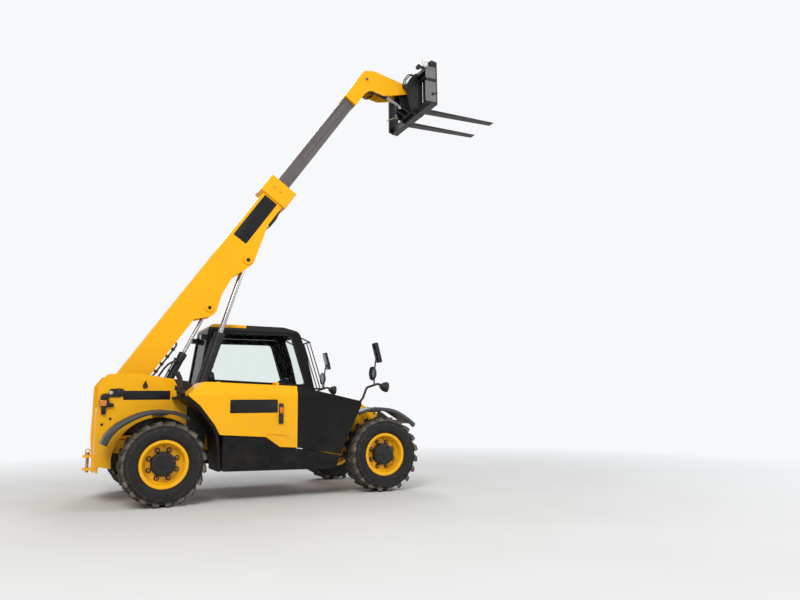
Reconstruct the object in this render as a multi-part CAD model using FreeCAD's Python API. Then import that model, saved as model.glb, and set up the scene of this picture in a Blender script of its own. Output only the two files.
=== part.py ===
import FreeCAD, Part
import math
import os

# A compact telehandler, in millimetres. X points forward, Y to the left, Z up.
# While it is modelled, X is 0 midway between the axles. The finished pieces are
# moved along X so that the origin is the centre of the machine's base on the ground.

# Wheels and axles
WHEELBASE = 2420.0
OVERALL_WIDTH = 1840.0
TYRE_RADIUS = 415.0
TYRE_WIDTH = 305.0
LUG_DEPTH = 24.0
LUG_COUNT = 18
LUG_WIDTH = 50.0
LUG_TAPER = 0.8
LUG_SLANT_DEG = 22.0
LUG_OVERLAP = 12.0
LUG_SHOULDER = 10.0
RIM_FLANGE_RADIUS = 238.0
RIM_SEAT_RADIUS = 207.0
RIM_WIDTH = 250.0
RIM_WALL = 10.0
DISC_OFFSET = 34.0
DISC_THICKNESS = 14.0
HUB_RADIUS = 118.0
HUB_LENGTH = 74.0
HUB_WALL = 14.0
NUT_COUNT = 8
NUT_CIRCLE_RADIUS = 146.0
NUT_RADIUS = 14.0
NUT_HEIGHT = 20.0
KINGPIN_INSET = 167.5
KNUCKLE_RADIUS = 62.0
KNUCKLE_HEIGHT = 200.0
YOKE_THICKNESS = 26.0
AXLE_TUBE_RADIUS = 78.0
DIFF_RADIUS = 165.0
DIFF_LENGTH = 260.0
SPINDLE_RADIUS = 66.0

# Clearances
GAP = 0.3
PIN_GAP = 0.3
PANEL_GAP = 5.0

# Chassis
RAIL_Y = 262.0
RAIL_WIDTH = 78.0
RAIL_BOTTOM = 510.0
RAIL_HEIGHT = 150.0
RAIL_BEHIND_AXLE = 530.0
RAIL_AHEAD_OF_AXLE = 290.0
REAR_PLATE_Y = 410.0
REAR_PLATE_THICKNESS = 16.0
REAR_WALL_BEHIND_AXLE = 590.0
REAR_WALL_THICKNESS = 20.0
ARCH_CLEARANCE = 40.0
CROSS_TUBE_RADIUS = 45.0
FRONT_PLATE_THICKNESS = 16.0
KEEPER_THICKNESS = 14.0

# Boom
BOOM_ANGLE_DEG = 55.0
PIVOT_BEHIND_AXLE = 390.0
BOOM_PIVOT_Z = 1130.0
BOOM_WIDTH = 250.0
BOOM_WALL = 12.0
BOOM_TOP = 141.0
BOOM_BOTTOM = -148.0
BOOM_LENGTH = 3147.0
BOOM_FLOOR = -82.0
BOOM_REAR = -150.0
COLLAR_LENGTH = 247.0
COLLAR_THICKNESS = 24.0
COLLAR_ABOVE = 49.0
COLLAR_BELOW = 42.0
PAD_LENGTH = 200.0
INNER_TOP = 96.0
INNER_BOTTOM = -74.0
INNER_WIDTH = 170.0
INNER_REAR = 2230.0
INNER_EXPOSED = 1583.0
HEAD_WIDTH = 250.0
HEAD_PLATE = 20.0
HEAD_SOCKET = 60.0
PIVOT_PIN_RADIUS = 42.0
NOSE_PIN_RADIUS = 28.0

# Rams
LIFT_PIN_S = 2083.0
LIFT_PIN_T = -218.0
LIFT_BASE_AHEAD_OF_PIVOT = 715.0
LIFT_BASE_Z = 660.0
LIFT_PIN_RADIUS = 26.0
LIFT_EYE_HALF = 55.0
LIFT_BARREL_LENGTH = 1223.0
LIFT_BARREL_RADIUS = 56.0
LIFT_ROD_RADIUS = 30.0
LIFT_ROD_LENGTH = 1150.0
SLAVE_PIN_S = 1339.0
SLAVE_PIN_T = -205.0
SLAVE_BASE_AHEAD_OF_PIVOT = 350.0
SLAVE_BASE_Z = 900.0
SLAVE_PIN_RADIUS = 20.0
SLAVE_EYE_HALF = 37.0
SLAVE_BARREL_LENGTH = 756.0
SLAVE_BARREL_RADIUS = 42.0
SLAVE_ROD_RADIUS = 20.0
SLAVE_ROD_LENGTH = 740.0
TILT_BASE_AHEAD_OF_HEAD = 421.0
TILT_BASE_T = 15.0
TILT_PIN_RADIUS = 20.0
TILT_BARREL_LENGTH = 372.0
TILT_BARREL_RADIUS = 42.0
TILT_ROD_RADIUS = 22.0
TILT_ROD_LENGTH = 380.0
RAM_EYE_GAP = 7.0

# Carriage and forks
NOSE_AHEAD_OF_HEAD = 741.0
CARRIAGE_PIVOT_T = -448.0
CARRIAGE_LUG_DROP = 222.0
CARRIAGE_LUG_X = 20.0
CARRIAGE_OFFSET = 115.0
CARRIAGE_HALF_WIDTH = 600.0
CARRIAGE_DEPTH = 150.0
CARRIAGE_BELOW = 405.0
CARRIAGE_ABOVE = 210.0
FORK_LENGTH = 1070.0
FORK_WIDTH = 100.0
FORK_THICKNESS = 40.0
FORK_SPACING = 500.0
FORK_TOP_BELOW_PIVOT = 330.0

# Engine pod on the right
POD_INSET = 20.0
POD_AHEAD_OF_REAR_AXLE = 205.0
POD_BEHIND_FRONT_AXLE = 305.0
POD_SPLIT_X = 158.0
POD_TOP = 1189.0
POD_BOTTOM = 528.0
COVER_WALL = 22.0
DECK_INNER_Y = 280.0
HINGE_PIN_RADIUS = 5.0
HINGE_LENGTH = 40.0
COVER_HINGE_Z = 1238.0
ENGINE_BOTTOM = 440.0
LATCH_DEPTH = 14.0
LATCH_BEHIND_SPLIT = 187.0
RECESS_DEPTH = 8.0
LOUVRE_COUNT = 5
LOUVRE_BEHIND_POD_TIP = 285.0
LOUVRE_PITCH = 90.0
EXHAUST_AHEAD_OF_AXLE = 162.0
EXHAUST_INSET = 260.0
EXHAUST_RADIUS = 27.0
EXHAUST_HEIGHT = 188.0
ARCH_PANEL_THICKNESS = 26.0
GUARD_THICKNESS = 14.0
GUARD_LIP = 58.0
GUARD_INNER_Y = 520.0
GUARD_CARRIER_ABOVE_AXLE = 480.0
GUARD_CARRIER_HEIGHT = 43.0

# Hitch
HITCH_BEHIND_AXLE = 702.0
HITCH_LOW_Z = 325.0
HITCH_JAW = 24.0
HITCH_GAP = 110.0
HITCH_PIN_RADIUS = 16.0

# Cab on the left
CAB_INNER_Y = 170.0
CAB_INSET = 40.0
CAB_AHEAD_OF_REAR_AXLE = 510.0
CAB_BEHIND_FRONT_AXLE = 485.0
CAB_WALL = 45.0
PANE = 8.0
ROOF_SPLIT_Z = 1890.0
CAB_BOTTOM_Z = 440.0
CAB_TOP_Z = 1960.0
PANE_DEPTH = 14.0
DOOR_HINGE_OUT = 14.0
DOOR_PIN_RADIUS = 6.0
STEERING_RADIUS = 178.0
DOOR_HINGE_ZS = (640.0, 1560.0)
GUARD_BARS = 6
SEAT_ACROSS = 0.55
SEAT_CLEARANCE = 24.0
CUSHION_INNER_INSET = 115.0
CUSHION_OUTER_INSET = 45.0
SEAT_TOP_Z = 800.0
CAB_STEP_Z = 1025.0
HOSE_RADIUS = 9.0
HOSE_DROP = 28.0
HOSE_CLIPS = 4
STALK_RADIUS = 11.0

# Places that follow from the sizes
FRONT_AXLE_X = WHEELBASE / 2
REAR_AXLE_X = -WHEELBASE / 2
WHEEL_Y = (OVERALL_WIDTH - TYRE_WIDTH) / 2
KINGPIN_Y = WHEEL_Y - KINGPIN_INSET
AXLE_Z = TYRE_RADIUS
LUG_BASE_RADIUS = TYRE_RADIUS - LUG_DEPTH
ARCH_RADIUS = TYRE_RADIUS + ARCH_CLEARANCE
RAIL_OUTER_Y = RAIL_Y + RAIL_WIDTH
RAIL_TOP = RAIL_BOTTOM + RAIL_HEIGHT
RAIL_REAR_X = REAR_AXLE_X - RAIL_BEHIND_AXLE
RAIL_FRONT_X = FRONT_AXLE_X + RAIL_AHEAD_OF_AXLE
REAR_WALL_X = REAR_AXLE_X - REAR_WALL_BEHIND_AXLE
FRONT_PLATE_Y = RAIL_OUTER_Y + FRONT_PLATE_THICKNESS
BOOM_PIVOT_X = REAR_AXLE_X - PIVOT_BEHIND_AXLE
HEAD_START = BOOM_LENGTH + INNER_EXPOSED
TILT_BASE_S = HEAD_START + TILT_BASE_AHEAD_OF_HEAD
CARRIAGE_PIVOT_S = HEAD_START + NOSE_AHEAD_OF_HEAD
LIFT_BASE_X = BOOM_PIVOT_X + LIFT_BASE_AHEAD_OF_PIVOT
SLAVE_BASE_X = BOOM_PIVOT_X + SLAVE_BASE_AHEAD_OF_PIVOT
POD_OUTER_Y = OVERALL_WIDTH / 2 - POD_INSET
POD_REAR_X = REAR_AXLE_X + POD_AHEAD_OF_REAR_AXLE
POD_FRONT_X = FRONT_AXLE_X - POD_BEHIND_FRONT_AXLE
COVER_INNER_Y = REAR_PLATE_Y + PANEL_GAP
COVER_HINGE_XS = (POD_REAR_X + 405, POD_SPLIT_X - 98)
COVER_HINGE_Y = -COVER_INNER_Y + PANEL_GAP / 2
EXHAUST_X = REAR_AXLE_X + EXHAUST_AHEAD_OF_AXLE
EXHAUST_Y = -POD_OUTER_Y + EXHAUST_INSET
HITCH_REAR_X = REAR_AXLE_X - HITCH_BEHIND_AXLE
CAB_OUTER_Y = OVERALL_WIDTH / 2 - CAB_INSET
CAB_REAR_X = REAR_AXLE_X + CAB_AHEAD_OF_REAR_AXLE
CAB_FRONT_X = FRONT_AXLE_X - CAB_BEHIND_FRONT_AXLE
CAB_FLOOR_Z = CAB_BOTTOM_Z + CAB_WALL
CAB_STEP_X = CAB_FRONT_X - 135
DOOR_HINGE_X = CAB_REAR_X + 152
DOOR_HINGE_Y = CAB_OUTER_Y + DOOR_HINGE_OUT
SEAT_Y = CAB_INNER_Y + SEAT_ACROSS * (CAB_OUTER_Y - CAB_INNER_Y)


def vec(x, y, z):
    return FreeCAD.Vector(x, y, z)


X_AXIS = vec(1, 0, 0)
Y_AXIS = vec(0, 1, 0)
Z_AXIS = vec(0, 0, 1)
ORIGIN = vec(0, 0, 0)


def corner_arc(before, here, after, radius):
    """Start, middle and end of the arc that rounds one corner."""
    back = before - here
    on = after - here
    back.normalize()
    on.normalize()
    half = back.getAngle(on) / 2
    middle = back + on
    middle.normalize()
    reach = radius / math.tan(half)
    return (here + back * reach, here + middle * (radius / math.sin(half) - radius),
            here + on * reach)


def path_edges(points, radii, closed):
    """Lines and tangent arcs along points, each corner rounded by its radius."""
    count = len(points)
    turns = []
    for i, here in enumerate(points):
        is_end = not closed and i in (0, count - 1)
        if is_end or radii[i] <= 0:
            turns.append((here,))
        else:
            turns.append(corner_arc(points[i - 1], here, points[(i + 1) % count], radii[i]))
    edges = []
    for i, turn in enumerate(turns):
        if len(turn) == 3:
            edges.append(Part.Arc(*turn).toShape())
        if i == count - 1 and not closed:
            break
        after = turns[(i + 1) % count][0]
        if (after - turn[-1]).Length > 0.01:
            edges.append(Part.LineSegment(turn[-1], after).toShape())
    return edges


def shifted(corners, distance, closed=True):
    """Corners (u, v, radius) moved to the left of their path by a distance."""
    count = len(corners)
    result = []
    for i, (u, v, radius) in enumerate(corners):
        here = vec(u, v, 0)
        before = vec(*corners[i - 1][:2], 0)
        after = vec(*corners[(i + 1) % count][:2], 0)
        into, out = here - before, after - here
        if not closed and i == 0:
            into = out
        if not closed and i == count - 1:
            out = into
        into.normalize()
        out.normalize()
        left_in = vec(-into.y, into.x, 0)
        left_out = vec(-out.y, out.x, 0)
        move = (left_in + left_out) * (distance / (1 + left_in.dot(left_out)))
        turns_left = into.x * out.y - into.y * out.x > 0
        new_radius = radius - distance if turns_left else radius + distance
        spot = here + move
        result.append((spot.x, spot.y, max(new_radius, 0) if radius > 0 else 0))
    return result


def moved(corners, du, dv=0.0):
    """Outline drawn round its own origin, put where that origin belongs."""
    return [(u + du, v + dv, radius) for u, v, radius in corners]


def round_wheel(axle_x, corners):
    """Path above a wheel, from corners (angle, distance from the tread, corner radius)."""
    path = []
    for angle_deg, distance, radius in corners:
        reach = TYRE_RADIUS + distance
        angle = math.radians(angle_deg)
        path.append((axle_x + reach * math.cos(angle), AXLE_Z + reach * math.sin(angle), radius))
    return path


def inset(corners, distance):
    """Closed outline drawn in by a distance, whichever way round it runs."""
    area = sum(a[0] * b[1] - b[0] * a[1] for a, b in zip(corners, corners[1:] + corners[:1]))
    return shifted(corners, distance if area > 0 else -distance)


def band(path, thickness):
    """Closed outline of a strip that lies to the left of an open path."""
    return path + shifted(path, thickness, closed=False)[::-1]


def outline_face(corners, place):
    """Face inside the outline, each flat point (u, v) put in space by place."""
    points = [place(u, v) for u, v, _ in corners]
    return Part.Face(Part.Wire(path_edges(points, [r for _, _, r in corners], True)))


def side_prism(corners, y0, y1):
    """Outline of (x, z, radius) corners, from y0 to y1 across the machine."""
    face = outline_face(corners, lambda x, z: vec(x, y0, z))
    return face.extrude(vec(0, y1 - y0, 0))


def front_prism(corners, x0, x1):
    """Outline of (y, z, radius) corners, from x0 to x1 along the machine."""
    face = outline_face(corners, lambda y, z: vec(x0, y, z))
    return face.extrude(vec(x1 - x0, 0, 0))


def plan_prism(corners, z0, z1):
    """Outline of (x, y, radius) corners, from z0 up to z1."""
    face = outline_face(corners, lambda x, y: vec(x, y, z0))
    return face.extrude(vec(0, 0, z1 - z0))


def block(x0, x1, y0, y1, z0, z1):
    return Part.makeBox(x1 - x0, y1 - y0, z1 - z0, vec(x0, y0, z0))


def rod(start, end, radius):
    """Round bar between two points."""
    along = end - start
    return Part.makeCylinder(radius, along.Length, start, along)


def cross_pin(x, z, radius, half_width, y=0.0):
    """Round bar across the machine, centred on y."""
    return Part.makeCylinder(radius, 2 * half_width, vec(x, y - half_width, z), Y_AXIS)


def bent_bar(points, bend, radius):
    """Round bar or hose along points, with one bend radius at its corners."""
    spine = Part.Wire(path_edges(points, [bend] * len(points), False))
    ring = Part.Wire(Part.makeCircle(radius, points[0], points[1] - points[0]))
    return spine.makePipeShell([ring], True, True)


def fused(shapes):
    return shapes[0].fuse(shapes[1:]).removeSplitter()


def mirrored(shape):
    return shape.mirror(ORIGIN, Y_AXIS)


def both_sides(shape):
    return [shape, mirrored(shape)]


def together(shapes):
    return Part.makeCompound(shapes)


# Places along the boom: s runs from its pivot to its nose, t from its axis to its top.
def boom_point(s, t, y=0.0):
    angle = math.radians(BOOM_ANGLE_DEG)
    x = BOOM_PIVOT_X + s * math.cos(angle) - t * math.sin(angle)
    z = BOOM_PIVOT_Z + s * math.sin(angle) + t * math.cos(angle)
    return vec(x, y, z)


def raised(shape):
    """Turns a shape drawn along the boom, (s, y, t), to the boom's own angle."""
    turned = shape.copy()
    turned.rotate(ORIGIN, Y_AXIS, -BOOM_ANGLE_DEG)
    turned.translate(vec(BOOM_PIVOT_X, 0, BOOM_PIVOT_Z))
    return turned


LIFT_BASE = vec(LIFT_BASE_X, 0, LIFT_BASE_Z)
LIFT_PIN = boom_point(LIFT_PIN_S, LIFT_PIN_T)
SLAVE_BASE = vec(SLAVE_BASE_X, 0, SLAVE_BASE_Z)
SLAVE_PIN = boom_point(SLAVE_PIN_S, SLAVE_PIN_T)
TILT_BASE = boom_point(TILT_BASE_S, TILT_BASE_T)
CARRIAGE_PIVOT = boom_point(CARRIAGE_PIVOT_S, CARRIAGE_PIVOT_T)
TILT_PIN = CARRIAGE_PIVOT + vec(CARRIAGE_LUG_X, 0, -CARRIAGE_LUG_DROP)
FORK_HEEL_X = CARRIAGE_PIVOT.x + CARRIAGE_OFFSET + CARRIAGE_DEPTH + GAP
FORK_TIP_X = FORK_HEEL_X + FORK_THICKNESS + FORK_LENGTH
BASE_CENTRE_X = (FORK_TIP_X + HITCH_REAR_X) / 2

PIECES = {}


def keep(name, shape):
    """Moves a finished piece to the frame of the base's centre and keeps it."""
    placed = shape.copy()
    placed.translate(vec(-BASE_CENTRE_X, 0, 0))
    PIECES[name] = placed


# Wheels, drawn round the Y axis with the outboard side at +Y
def turned(corners):
    """Ring whose section has corners (y, radius from the axle, corner radius)."""
    face = outline_face(corners, lambda y, r: vec(0, y, r))
    return face.revolve(ORIGIN, Y_AXIS, 360)


def tyre_shape():
    half = TYRE_WIDTH / 2
    bead = RIM_WIDTH / 2 - RIM_WALL - 2 * GAP
    seat = RIM_SEAT_RADIUS + 8 + GAP
    carcass = turned([
        (-bead, seat, 0), (-bead, RIM_FLANGE_RADIUS + 3, 6), (-half, 300, 60),
        (-half + 8, LUG_BASE_RADIUS - 26, 22), (-half + 40, LUG_BASE_RADIUS, 30),
        (half - 40, LUG_BASE_RADIUS, 30), (half - 8, LUG_BASE_RADIUS - 26, 22),
        (half, 300, 60), (bead, RIM_FLANGE_RADIUS + 3, 6), (bead, seat, 0)])
    whole = carcass.fuse(tread_lugs())
    return whole.common(cross_pin(0, 0, TYRE_RADIUS, TYRE_WIDTH)).removeSplitter()


def one_lug(side):
    """Slanted bar of rubber from the middle of the tread out to one shoulder."""
    inner = -side * LUG_OVERLAP
    outer = side * (TYRE_WIDTH / 2 - 6)
    slant = abs(outer - inner) * math.tan(math.radians(LUG_SLANT_DEG))
    foot, top = [], []
    for height, width, ring in ((LUG_BASE_RADIUS - 30, LUG_WIDTH, foot),
                                (TYRE_RADIUS + LUG_OVERLAP, LUG_WIDTH * LUG_TAPER, top)):
        drop = side * LUG_SHOULDER * (height > TYRE_RADIUS)
        for x, y in ((-width / 2, inner), (width / 2, inner),
                     (width / 2 + slant, outer - drop), (-width / 2 + slant, outer - drop)):
            ring.append(vec(x, y, height))
    wires = [Part.makePolygon(ring + [ring[0]]) for ring in (foot, top)]
    return Part.makeLoft(wires, True, True)


def tread_lugs():
    """Two rows of lugs, the second set half a pitch behind the first."""
    pitch = 360.0 / LUG_COUNT
    lugs = []
    for side, phase in ((1, 0.0), (-1, 0.5)):
        lug = one_lug(side)
        for i in range(LUG_COUNT):
            copy = lug.copy()
            copy.rotate(ORIGIN, Y_AXIS, (i + phase) * pitch)
            lugs.append(copy)
    return lugs


def rim_shape():
    half = RIM_WIDTH / 2
    back = DISC_OFFSET - DISC_THICKNESS
    ring = turned([
        (-half, RIM_FLANGE_RADIUS, 0), (-half + RIM_WALL, RIM_FLANGE_RADIUS, 0),
        (-half + RIM_WALL, RIM_SEAT_RADIUS + 8, 0), (-52, RIM_SEAT_RADIUS - 4, 0),
        (-30, RIM_SEAT_RADIUS - 22, 0), (30, RIM_SEAT_RADIUS - 22, 0),
        (52, RIM_SEAT_RADIUS - 4, 0), (half - RIM_WALL, RIM_SEAT_RADIUS + 8, 0),
        (half - RIM_WALL, RIM_FLANGE_RADIUS, 0), (half, RIM_FLANGE_RADIUS, 0),
        (half, RIM_SEAT_RADIUS, 12), (58, RIM_SEAT_RADIUS - 14, 0),
        (DISC_OFFSET, RIM_SEAT_RADIUS - 36, 14), (DISC_OFFSET, SPINDLE_RADIUS + GAP, 0),
        (back, SPINDLE_RADIUS + GAP, 0), (back, RIM_SEAT_RADIUS - 34, 0),
        (-34, RIM_SEAT_RADIUS - 34, 0), (-58, RIM_SEAT_RADIUS - 14, 0),
        (-half, RIM_SEAT_RADIUS - 2, 0)])
    hub_end = DISC_OFFSET + HUB_LENGTH
    hub = turned([(DISC_OFFSET, SPINDLE_RADIUS + GAP, 0), (DISC_OFFSET, HUB_RADIUS, 0),
                  (hub_end, HUB_RADIUS - 6, 10), (hub_end, 0, 0),
                  (hub_end - HUB_WALL, 0, 0), (hub_end - HUB_WALL, SPINDLE_RADIUS + GAP, 0)])
    nuts = []
    for i in range(NUT_COUNT):
        angle = 2 * math.pi * (i + 0.5) / NUT_COUNT
        centre = vec(NUT_CIRCLE_RADIUS * math.cos(angle), DISC_OFFSET,
                     NUT_CIRCLE_RADIUS * math.sin(angle))
        nuts.append(Part.makeCylinder(NUT_RADIUS, NUT_HEIGHT, centre, Y_AXIS))
    return fused([ring, hub] + nuts)


def knuckle_shape():
    """Steering knuckle: the kingpin barrel with the spindle that carries the wheel."""
    inward = KINGPIN_Y - WHEEL_Y
    barrel = Part.makeCylinder(KNUCKLE_RADIUS, KNUCKLE_HEIGHT,
                               vec(0, inward, -KNUCKLE_HEIGHT / 2), Z_AXIS)
    end = DISC_OFFSET + HUB_LENGTH - HUB_WALL - GAP
    root = inward + 20
    spindle = turned([(root, 0, 0), (root, SPINDLE_RADIUS + 24, 0), (root + 50, SPINDLE_RADIUS + 24, 0),
                      (root + 70, SPINDLE_RADIUS, 0), (end, SPINDLE_RADIUS, 0), (end, 0, 0)])
    return fused([barrel, spindle])


def axle_shape(x):
    """Axle beam with its differential and a yoke at each end."""
    end = KINGPIN_Y - KNUCKLE_RADIUS - 24
    beam = cross_pin(0, 0, AXLE_TUBE_RADIUS, end)
    swell = turned([(-DIFF_LENGTH / 2, 0, 0), (-DIFF_LENGTH / 2, AXLE_TUBE_RADIUS + 20, 20),
                    (-DIFF_LENGTH / 5, DIFF_RADIUS, 60), (DIFF_LENGTH / 5, DIFF_RADIUS, 60),
                    (DIFF_LENGTH / 2, AXLE_TUBE_RADIUS + 20, 20), (DIFF_LENGTH / 2, 0, 0)])
    yokes = []
    low = KNUCKLE_HEIGHT / 2 + GAP
    for z in (low, -low - YOKE_THICKNESS):
        arm = plan_prism([(-60, end - 34, 20), (60, end - 34, 20), (KNUCKLE_RADIUS, KINGPIN_Y + 40, 34),
                          (-KNUCKLE_RADIUS, KINGPIN_Y + 40, 34)], z, z + YOKE_THICKNESS)
        yokes.append(arm)
    web = block(-60, 60, end - 34, end, -low - YOKE_THICKNESS, low + YOKE_THICKNESS)
    yokes.append(web)
    mirrored_yokes = [mirrored(y) for y in yokes]
    axle = fused([beam, swell] + yokes + mirrored_yokes)
    axle.translate(vec(x, 0, AXLE_Z))
    return axle


def wheels():
    tyre, rim, knuckle = tyre_shape(), rim_shape(), knuckle_shape()
    for end, x in (("front", FRONT_AXLE_X), ("rear", REAR_AXLE_X)):
        for side in ("left", "right"):
            for name, shape in (("tyre", tyre), ("rim", rim), ("knuckle", knuckle)):
                piece = shape.copy()
                piece.translate(vec(x, WHEEL_Y, AXLE_Z))
                if side == "right":
                    piece = mirrored(piece)
                keep(f"{name}_{end}_{side}", piece)
        keep(f"axle_{end}", axle_shape(x))


# Chassis
def rear_plate():
    """Tall side plate of the rear frame, open over the wheel."""
    y0, y1 = -REAR_PLATE_Y, -REAR_PLATE_Y + REAR_PLATE_THICKNESS
    plate = side_prism(moved([
        (-596, -30, 20), (-380, -70, 20), (450, -70, 10), (490, 225, 40), (510, 485, 60),
        (305, 835, 30), (-240, 918, 60), (-525, 907, 50), (-605, 795, 40), (-616, 235, 60)],
        REAR_AXLE_X, AXLE_Z), y0, y1)
    arch = cross_pin(REAR_AXLE_X, AXLE_Z, ARCH_RADIUS, REAR_PLATE_THICKNESS + 5, y0)
    below = block(REAR_AXLE_X - 330, REAR_AXLE_X + 520, y0 - 5, y1 + 5, 0, AXLE_Z)
    drop_hole = side_prism(moved([(-162, 777, 12), (-128, 777, 12), (-135, 835, 6)],
                                 REAR_AXLE_X, AXLE_Z), y0 - 5, y1 + 5)
    small = [cross_pin(REAR_AXLE_X + x, AXLE_Z + z, 8, REAR_PLATE_THICKNESS + 5, y0)
             for x, z in ((-480, 447), (-565, 385))]
    return plate.cut([arch, below, drop_hole] + small)


def rail():
    """Long box member beside the boom's channel."""
    return side_prism([
        (RAIL_REAR_X, RAIL_BOTTOM, 0), (RAIL_FRONT_X, RAIL_BOTTOM, 20),
        (RAIL_FRONT_X, RAIL_TOP, 20), (RAIL_REAR_X, RAIL_TOP, 0)], -RAIL_OUTER_Y, -RAIL_Y)


def chassis():
    rails = both_sides(rail())
    plates = both_sides(rear_plate())
    inner_y = REAR_PLATE_Y - REAR_PLATE_THICKNESS
    ties = []
    for from_axle, length in ((-490, 250), (230, 200)):
        x = REAR_AXLE_X + from_axle
        ties += both_sides(block(x, x + length, -inner_y, -RAIL_OUTER_Y, RAIL_TOP - 85, RAIL_TOP - 20))
    wall_front = REAR_WALL_X + REAR_WALL_THICKNESS
    rear_wall = block(REAR_WALL_X, wall_front, -inner_y, inner_y, HITCH_LOW_Z - 5, RAIL_TOP + 320)
    floor = block(wall_front, wall_front + 120, -inner_y, inner_y, RAIL_BOTTOM - 110, RAIL_BOTTOM - 85)
    tubes = [cross_pin(x, z, CROSS_TUBE_RADIUS, RAIL_Y + 10) for x, z in (
        (LIFT_BASE_X - 150, RAIL_BOTTOM + 70), (FRONT_AXLE_X - 650, RAIL_BOTTOM + 50),
        (FRONT_AXLE_X + 210, RAIL_BOTTOM + 75))]
    seats = []
    for x in (REAR_AXLE_X, FRONT_AXLE_X):
        seats += both_sides(block(x - 70, x + 70, -RAIL_OUTER_Y, -RAIL_Y,
                                  AXLE_Z + AXLE_TUBE_RADIUS - 20, RAIL_BOTTOM + 10))
    frame = fused(rails + plates + ties + [rear_wall, floor] + tubes + seats)
    bores = [cross_pin(BOOM_PIVOT_X, BOOM_PIVOT_Z, PIVOT_PIN_RADIUS + GAP, REAR_PLATE_Y + 5)]
    for x in (REAR_AXLE_X, FRONT_AXLE_X):
        bores.append(cross_pin(x, AXLE_Z, AXLE_TUBE_RADIUS + GAP, RAIL_OUTER_Y + 5))
    keep("chassis", frame.cut(bores))


def ram_bracket(base, reach, half_gap):
    """Pair of ears that stand on a cross tube between the rails."""
    ear = side_prism([(base.x - 60, base.z + 55, 50), (base.x + 60, base.z + 55, 50),
                      (base.x + 80, base.z - reach, 10), (base.x - 80, base.z - reach, 10)],
                     -half_gap - 20, -half_gap)
    return both_sides(ear)


def front_frame():
    """Yellow side plates round the front axle, joined by a nose in front of the rails."""
    plate = side_prism(moved([
        (-610, 55, 20), (-310, -23, 30), (-110, -85, 30), (230, -75, 60), (380, 55, 60),
        (350, 305, 60), (143, 465, 40), (-57, 570, 50), (-270, 595, 40), (-510, 545, 40)],
        FRONT_AXLE_X, AXLE_Z), -FRONT_PLATE_Y, -RAIL_OUTER_Y)
    hole = cross_pin(FRONT_AXLE_X, AXLE_Z, AXLE_TUBE_RADIUS + GAP, 2 * FRONT_PLATE_THICKNESS, -FRONT_PLATE_Y)
    plates = both_sides(plate.cut(hole))
    nose_top = RAIL_HEIGHT + 40
    nose = side_prism(moved([(-20, -90, 10), (20, -90, 10), (60, 50, 20), (30, nose_top, 20), (5, nose_top, 0)],
                            RAIL_FRONT_X, RAIL_BOTTOM), -RAIL_OUTER_Y, RAIL_OUTER_Y)
    cut_rails = block(RAIL_REAR_X, RAIL_FRONT_X + GAP, -RAIL_OUTER_Y - GAP, RAIL_OUTER_Y + GAP,
                      RAIL_BOTTOM - GAP, RAIL_TOP + GAP)
    keep("front_frame", fused(plates + [nose]).cut(cut_rails))


def pins():
    """Boom pivot pin with a drop-shaped keeper plate outside each frame plate."""
    outer = REAR_PLATE_Y + KEEPER_THICKNESS
    pivot = cross_pin(BOOM_PIVOT_X, BOOM_PIVOT_Z, PIVOT_PIN_RADIUS, outer)
    keeper = side_prism(moved([(-135, -40, 22), (25, -50, 44), (25, 48, 44), (-100, 38, 22)],
                              BOOM_PIVOT_X, BOOM_PIVOT_Z), -outer, -REAR_PLATE_Y - GAP)
    keep("boom_pivot_pin", fused([pivot] + both_sides(keeper)))


def ram_mounts():
    shapes = []
    for base, pin_radius, eye_half, tube_z in (
            (LIFT_BASE, LIFT_PIN_RADIUS, LIFT_EYE_HALF, RAIL_BOTTOM + 20),
            (SLAVE_BASE, SLAVE_PIN_RADIUS, SLAVE_EYE_HALF, RAIL_TOP - 45)):
        half_gap = eye_half + RAM_EYE_GAP
        ears = ram_bracket(base, base.z - tube_z, half_gap)
        tube = cross_pin(base.x, tube_z, CROSS_TUBE_RADIUS - 10, RAIL_Y - GAP)
        pin = cross_pin(base.x, base.z, pin_radius, half_gap + 30)
        shapes.append(fused(ears + [tube, pin]))
    keep("ram_mounts", together(shapes))


# Rams, drawn along X from the base pin and turned to their place
def aimed(shape, base, tip):
    along = tip - base
    placed = shape.copy()
    placed.rotate(ORIGIN, Y_AXIS, -math.degrees(math.atan2(along.z, along.x)))
    placed.translate(base)
    return placed


def ram(name, base, tip, barrel_length, barrel_radius, rod_radius, rod_length,
        pin_radius, eye_half, tip_radius, tip_half):
    """Barrel with its base eye and gland, and rod with the eye at its tip."""
    full = (tip - base).Length
    eye = Part.makeCylinder(pin_radius * 1.8, 2 * eye_half, vec(0, -eye_half, 0), Y_AXIS)
    tube = Part.makeCylinder(barrel_radius, barrel_length - pin_radius, vec(pin_radius, 0, 0), X_AXIS)
    gland = Part.makeCylinder(barrel_radius + 5, 60, vec(barrel_length - 60, 0, 0), X_AXIS)
    bore = Part.makeCylinder(rod_radius + PIN_GAP, barrel_length, vec(pin_radius * 1.8 + 30, 0, 0), X_AXIS)
    hole = Part.makeCylinder(pin_radius + PIN_GAP, 4 * eye_half, vec(0, -2 * eye_half, 0), Y_AXIS)
    port = Part.makeCylinder(12, barrel_radius + 22, vec(barrel_length - 90, 0, 0), Z_AXIS)
    barrel = fused([eye, tube, gland, port]).cut([bore, hole])
    shaft = Part.makeCylinder(rod_radius, rod_length, vec(full - rod_length, 0, 0), X_AXIS)
    tip_eye = Part.makeCylinder(tip_radius, 2 * tip_half, vec(full, -tip_half, 0), Y_AXIS)
    keep(f"{name}_barrel", aimed(barrel, base, tip))
    keep(f"{name}_rod", aimed(fused([shaft, tip_eye]), base, tip))


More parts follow.
